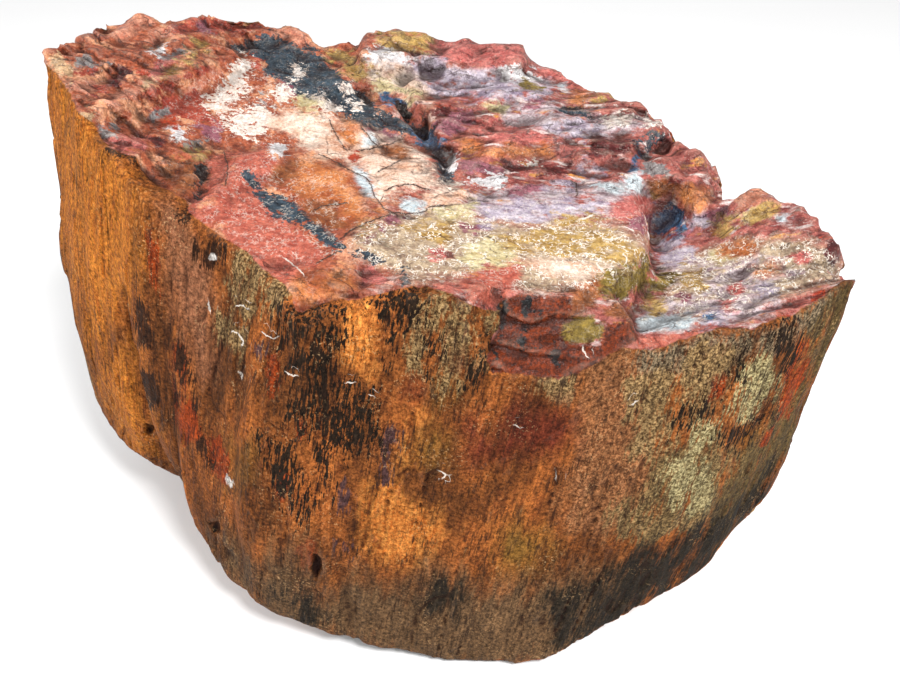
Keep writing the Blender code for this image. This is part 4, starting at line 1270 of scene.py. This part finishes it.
def flaked(net, place, layers, colour, warp, wander):
    """Adds the stone's own fine light and dark tones, and its flakes where it broke rough: each painted
    lighter or darker as if turned to or from the light, with painted shade between them.
    """
    vary = net.spread(net.noise(place, 1.0, 5.0, 0.75), 0.34, 0.66, 0.55, 1.25)
    rough = net.spread(net.attribute("calm"), 2.0, -2.0)
    sizes = (7.5, 3.6, 4.5)
    flakes = net.cells(layers, sizes, warp, 1.3, feature="F1").outputs["Color"]
    # Painted light: each flake lighter or darker, as facets turned to or from the light
    lit = net.spread(net.node("SeparateColor", {0: flakes}).outputs[0], 0.0, 1.0, 0.78, 1.22)
    lit = net.math("MULTIPLY_ADD", net.math("SUBTRACT", lit, 1.0), rough, 1.0)
    colour = net.tinted(colour, net.math("MULTIPLY", vary, lit))
    edges = net.cells(layers, sizes, warp, 1.3, feature="DISTANCE_TO_EDGE").outputs["Distance"]
    # Painted shade: dark lines between the flakes where the face broke rough
    gap_shade = net.product(net.spread(edges, 0.08, 0.01), rough, net.spread(wander, -0.05, 0.07), 0.80)
    return net.mix(gap_shade, colour, linear(GAP_SHADE))


def cracked(net, place, colour, warp, wander):
    """Adds the drawn cracks and a net of hairline cracks."""
    crack = net.near_line("crack", warp, 2.0, 0.42, 0.10)
    cells = net.node("TexVoronoi", {"Vector": net.scaled(place, (7.5, 5.5, 7.0)), "Scale": 1.0},
                     feature="DISTANCE_TO_EDGE").outputs["Distance"]
    cells = net.math("MULTIPLY_ADD", warp, 0.12, cells)
    veins = net.product(net.spread(cells, 0.05, 0.012),
                        net.spread(net.attribute("crackle"), -0.5, 2.0),
                        net.spread(wander, -0.06, 0.10), 0.8)
    return net.mix(net.math("MAXIMUM", crack, veins), colour, linear(CRACK))


def dusted(net, place, colour):
    """Adds pale dust outside the recess: curled hairs where the face is smooth, small crusts."""
    curls = net.math("ABSOLUTE", net.sway(place, 1.8, 2.0, 0.6))
    patches = net.spread(net.noise(place, 3.4, 4.0, 0.6), 0.46, 0.54)
    dusty = net.math("MAXIMUM", net.spread(net.attribute("sand"), -3.0, 2.0),
                     net.spread(net.attribute("calm"), -1.0, 3.0, 0.10, 0.35))
    clean = net.spread(net.attribute("cinder"), 2.0, -2.0)
    curls = net.product(net.spread(curls, 0.040, 0.018), patches, dusty, clean)
    colour = net.mix(curls, colour, linear(CURL))
    crust = net.product(net.spread(net.noise(place, 0.7, 3.0, 0.7), 0.62, 0.66),
                        net.spread(net.noise(place, 8.0, 3.0, 0.6), 0.48, 0.62), clean, 0.8)
    return net.mix(crust, colour, linear(CRUST))


def face_colour(net, place, patterns, warp):
    layers = layer_place(net, place)
    wander = net.sway(layers, (7.0, 4.0, 5.0), 5.0, 0.62)
    lace = net.sway(place, (1.5, 1.3, 1.4), 5.0, 0.72)
    colour = face_ground(net, place, layers, patterns)
    colour = painted(net, colour, FACE_COLOURS, patterns, wander, lace)
    colour = flaked(net, place, layers, colour, warp, wander)
    return dusted(net, place, cracked(net, place, colour, warp, wander))


def wall_colour(net, place, fibres, patterns):
    wander = net.sway(fibres, (6.0, 6.0, 22.0), 5.0, 0.60)
    lace = net.sway(fibres, (0.75, 0.75, 6.5), 3.0, 0.62)
    tone = net.spread(net.noise(fibres, (14.0, 14.0, 34.0), 4.0, 0.62), 0.36, 0.64)
    dark = net.mix(patterns["grain"], *map(linear, DARK_BARK))
    light = net.mix(patterns["grain"], *map(linear, LIGHT_BARK))
    colour = net.mix(tone, dark, light)
    colour = painted(net, colour, WALL_COLOURS, patterns, wander, lace)

    vary = net.spread(net.noise(place, 1.3, 4.0, 0.82), 0.36, 0.64, 0.26, 1.30)
    colour = net.tinted(colour, net.product(vary, net.spread(tone, 0.0, 1.0, 0.80, 1.10)))
    strands = net.product(net.spread(net.noise(fibres, (0.8, 0.8, 11.0), 4.0, 0.66), 0.53, 0.60),
                          net.spread(net.noise(fibres, (11.0, 11.0, 26.0), 2.0, 0.6), 0.40, 0.60),
                          0.80)
    colour = net.mix(strands, colour, linear(STRAND))
    scabs = net.product(net.spread(net.noise(place, 0.9, 3.0, 0.7), 0.60, 0.64),
                        net.spread(net.noise(place, 14.0, 3.0, 0.6), 0.50, 0.64), 0.5)
    return net.mix(scabs, colour, linear(SCAB))


def stone_surface(net, colour, fleck, low, rough, shine, edge_highlight_and_wear):
    """The stone's surface: pale flecks, painted shade in hollows, a painted highlight with some wear on
    edges, and relief under the mesh's.
    """
    colour = net.mix(fleck, colour, linear(FLECK))
    # Painted shade: the wider and the narrower hollows are darkened
    wide = net.spread(net.attribute("hollow_wide"), 0.0, 1.6, 0.0, 0.60)
    colour = net.mix(wide, colour, linear(DEEP_HOLLOW_SHADE))
    narrow = net.spread(net.attribute("hollow_fine"), 0.05, 0.40, 0.0, 0.60)
    colour = net.mix(narrow, colour, linear(SMALL_HOLLOW_SHADE))
    # Painted highlight with some wear: edges that stand out are lightened
    edge = net.spread(net.attribute("hollow_fine"), -0.12, -0.60, 0.0, edge_highlight_and_wear)
    colour = net.mix(edge, colour, linear(EDGE_HIGHLIGHT_AND_WEAR))
    bump = net.node("Bump", {"Height": low, "Strength": 0.85, "Distance": 0.70 * MM})
    surface = net.node("BsdfPrincipled", {
        "Base Color": colour, "Roughness": rough, "Normal": bump.outputs[0],
        "Specular IOR Level": shine,
    })
    return surface.outputs[0]


def wall_surface(net, place, patterns, fleck, grit):
    fibres = fibre_place(net, place)
    fibre = net.noise(fibres, (1.1, 1.1, 9.0), 3.0, 0.70)
    low = net.math("ADD", net.math("MULTIPLY", fibre, 0.8), net.math("MULTIPLY", grit, 0.5))
    matt = net.spread(patterns["grain"], 0.0, 1.0, 0.50, 0.80)
    colour = wall_colour(net, place, fibres, patterns)
    return stone_surface(net, colour, fleck, low, matt, shine=0.04, edge_highlight_and_wear=0.05)


def face_surface(net, place, patterns, warp, fleck, grit):
    chip = net.noise(place, 2.4, 3.0, 0.66)
    low = net.math("ADD", net.math("MULTIPLY", chip, 0.8), net.math("MULTIPLY", grit, 0.25))
    low = net.math("MULTIPLY_ADD", net.near_line("crack", warp, 2.0, 0.8, 0.1), -0.35, low)
    planes = net.cells(layer_place(net, place), (7.0, 4.4, 5.0), warp, 0.9, feature="F1",
                       distance="MANHATTAN").outputs["Distance"]
    ragged = net.spread(net.attribute("calm"), 2.0, -2.0, 0.12, 1.6)
    low = net.math("MULTIPLY_ADD", planes, ragged, low)
    gloss = net.spread(patterns["fine"], 0.0, 1.0, 0.26, 0.48)
    colour = face_colour(net, place, patterns, warp)
    return stone_surface(net, colour, fleck, low, gloss, shine=0.20, edge_highlight_and_wear=0.14)


def mottling(net, place):
    """Patterns that the marks share, from 0 dark to 1 light."""
    fibres = fibre_place(net, place)
    fine = net.spread(net.noise(place, 2.6, 5.0, 0.72), 0.34, 0.66)
    speck = net.spread(net.noise(place, 0.9, 3.0, 0.7), 0.40, 0.60)
    streak = net.spread(net.noise(layer_place(net, place), (5.5, 2.4, 3.0), 5.0, 0.66), 0.34, 0.66)
    broad = net.spread(net.noise(place, 8.0, 4.0, 0.55), 0.34, 0.66)
    fibre = net.spread(net.noise(fibres, (1.4, 1.4, 14.0), 5.0, 0.72), 0.36, 0.64)
    grain_shade = net.math("ADD", net.math("MULTIPLY", fibre, 0.6), net.math("MULTIPLY", speck, 0.4))
    return {"fine": fine, "speck": speck, "streak": streak, "broad": broad, "grain": grain_shade}


def stone_material():
    material = bpy.data.materials.new("petrified_wood_stone")
    net = Net(material)
    place = net.node("TexCoord").outputs["Object"]
    patterns = mottling(net, place)

    rim = net.math("MULTIPLY_ADD", net.sway(place, 4.0, 4.0, 0.65), 4.0, net.attribute("below_face"))
    on_face = net.spread(rim, RIM_DEPTH + 0.3, RIM_DEPTH - 0.3)
    warp = net.sway(place, 2.2, 4.0, 0.65)
    fleck = net.math("MULTIPLY", net.near_line("fleck", warp, 2.4, 0.34, 0.16), 0.85)
    grit = net.noise(place, 0.7, 2.0, 0.75)
    wall = wall_surface(net, place, patterns, fleck, grit)
    face = face_surface(net, place, patterns, warp, fleck, grit)
    surface = net.node("MixShader", {0: on_face, 1: wall, 2: face})
    output = net.node("OutputMaterial")
    net.give(output.inputs["Surface"], surface.outputs[0])
    return material


# Floor, light and camera


def floor_material():
    material = bpy.data.materials.new("pale_floor")
    net = Net(material)
    place = net.node("TexCoord").outputs["Object"]
    tone = net.spread(net.noise(place, 400.0, 2.0, 0.5), 0.3, 0.7)
    colour = net.mix(tone, (0.86, 0.86, 0.86), (0.90, 0.90, 0.90))
    surface = net.node("BsdfPrincipled", {"Base Color": colour, "Roughness": 0.85})
    output = net.node("OutputMaterial")
    net.give(output.inputs["Surface"], surface.outputs[0])
    return material


def build_floor():
    mesh = bpy.data.meshes.new("floor")
    half = FLOOR_HALF
    mesh.from_pydata([(-half, -half, 0), (half, -half, 0), (half, half, 0), (-half, half, 0)],
                     [], [(0, 1, 2, 3)])
    floor = bpy.data.objects.new("floor", mesh)
    bpy.context.scene.collection.objects.link(floor)
    mesh.materials.append(floor_material())


def add_light(name, place, size, power):
    light = bpy.data.lights.new(name, "AREA")
    light.shape = "DISK"
    light.size = size
    light.energy = power
    lamp = bpy.data.objects.new(name, light)
    lamp.location = place
    lamp.rotation_euler = (LIGHT_AIM - Vector(place)).to_track_quat("-Z", "Y").to_euler()
    bpy.context.scene.collection.objects.link(lamp)


def light_scene():
    world = bpy.data.worlds.new("studio")
    bpy.context.scene.world = world
    world.use_nodes = True
    sky = world.node_tree.nodes["Background"]
    sky.inputs["Color"].default_value = (1.0, 1.0, 1.0, 1.0)
    sky.inputs["Strength"].default_value = SKY_STRENGTH
    for name, (place, size, power) in LIGHTS.items():
        add_light(name, place, size, power)
    bpy.context.scene.view_settings.view_transform = "Standard"


def add_camera():
    data = bpy.data.cameras.new("photo_camera")
    data.sensor_width = SENSOR_WIDTH
    data.lens = FOCAL_PIXELS * SENSOR_WIDTH / IMAGE_SIZE[0]
    data.clip_start = NEAREST_VIEW
    camera = bpy.data.objects.new("photo_camera", data)
    camera.location = (EYE - FRAME_ORIGIN) * MM
    camera.rotation_euler = (math.pi / 2 - LOOK_DOWN, 0.0, 0.0)
    bpy.context.scene.collection.objects.link(camera)
    bpy.context.scene.camera = camera


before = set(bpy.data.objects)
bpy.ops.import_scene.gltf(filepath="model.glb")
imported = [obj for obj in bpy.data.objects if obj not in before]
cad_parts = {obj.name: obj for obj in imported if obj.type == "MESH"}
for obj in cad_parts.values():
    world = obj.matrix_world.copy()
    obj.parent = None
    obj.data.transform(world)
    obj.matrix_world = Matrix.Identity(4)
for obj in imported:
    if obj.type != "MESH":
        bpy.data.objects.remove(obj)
cad_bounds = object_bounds()
block, face_heights = build_block(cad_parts[NODE], cad_bounds)
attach(block, "root")
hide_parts(NODE)
mark_block(block, face_heights)
block.data.materials.clear()
block.data.materials.append(stone_material())
block.data.shade_smooth()
block.data.set_sharp_from_angle(angle=SHARP_ANGLE)

build_floor()
light_scene()
add_camera()
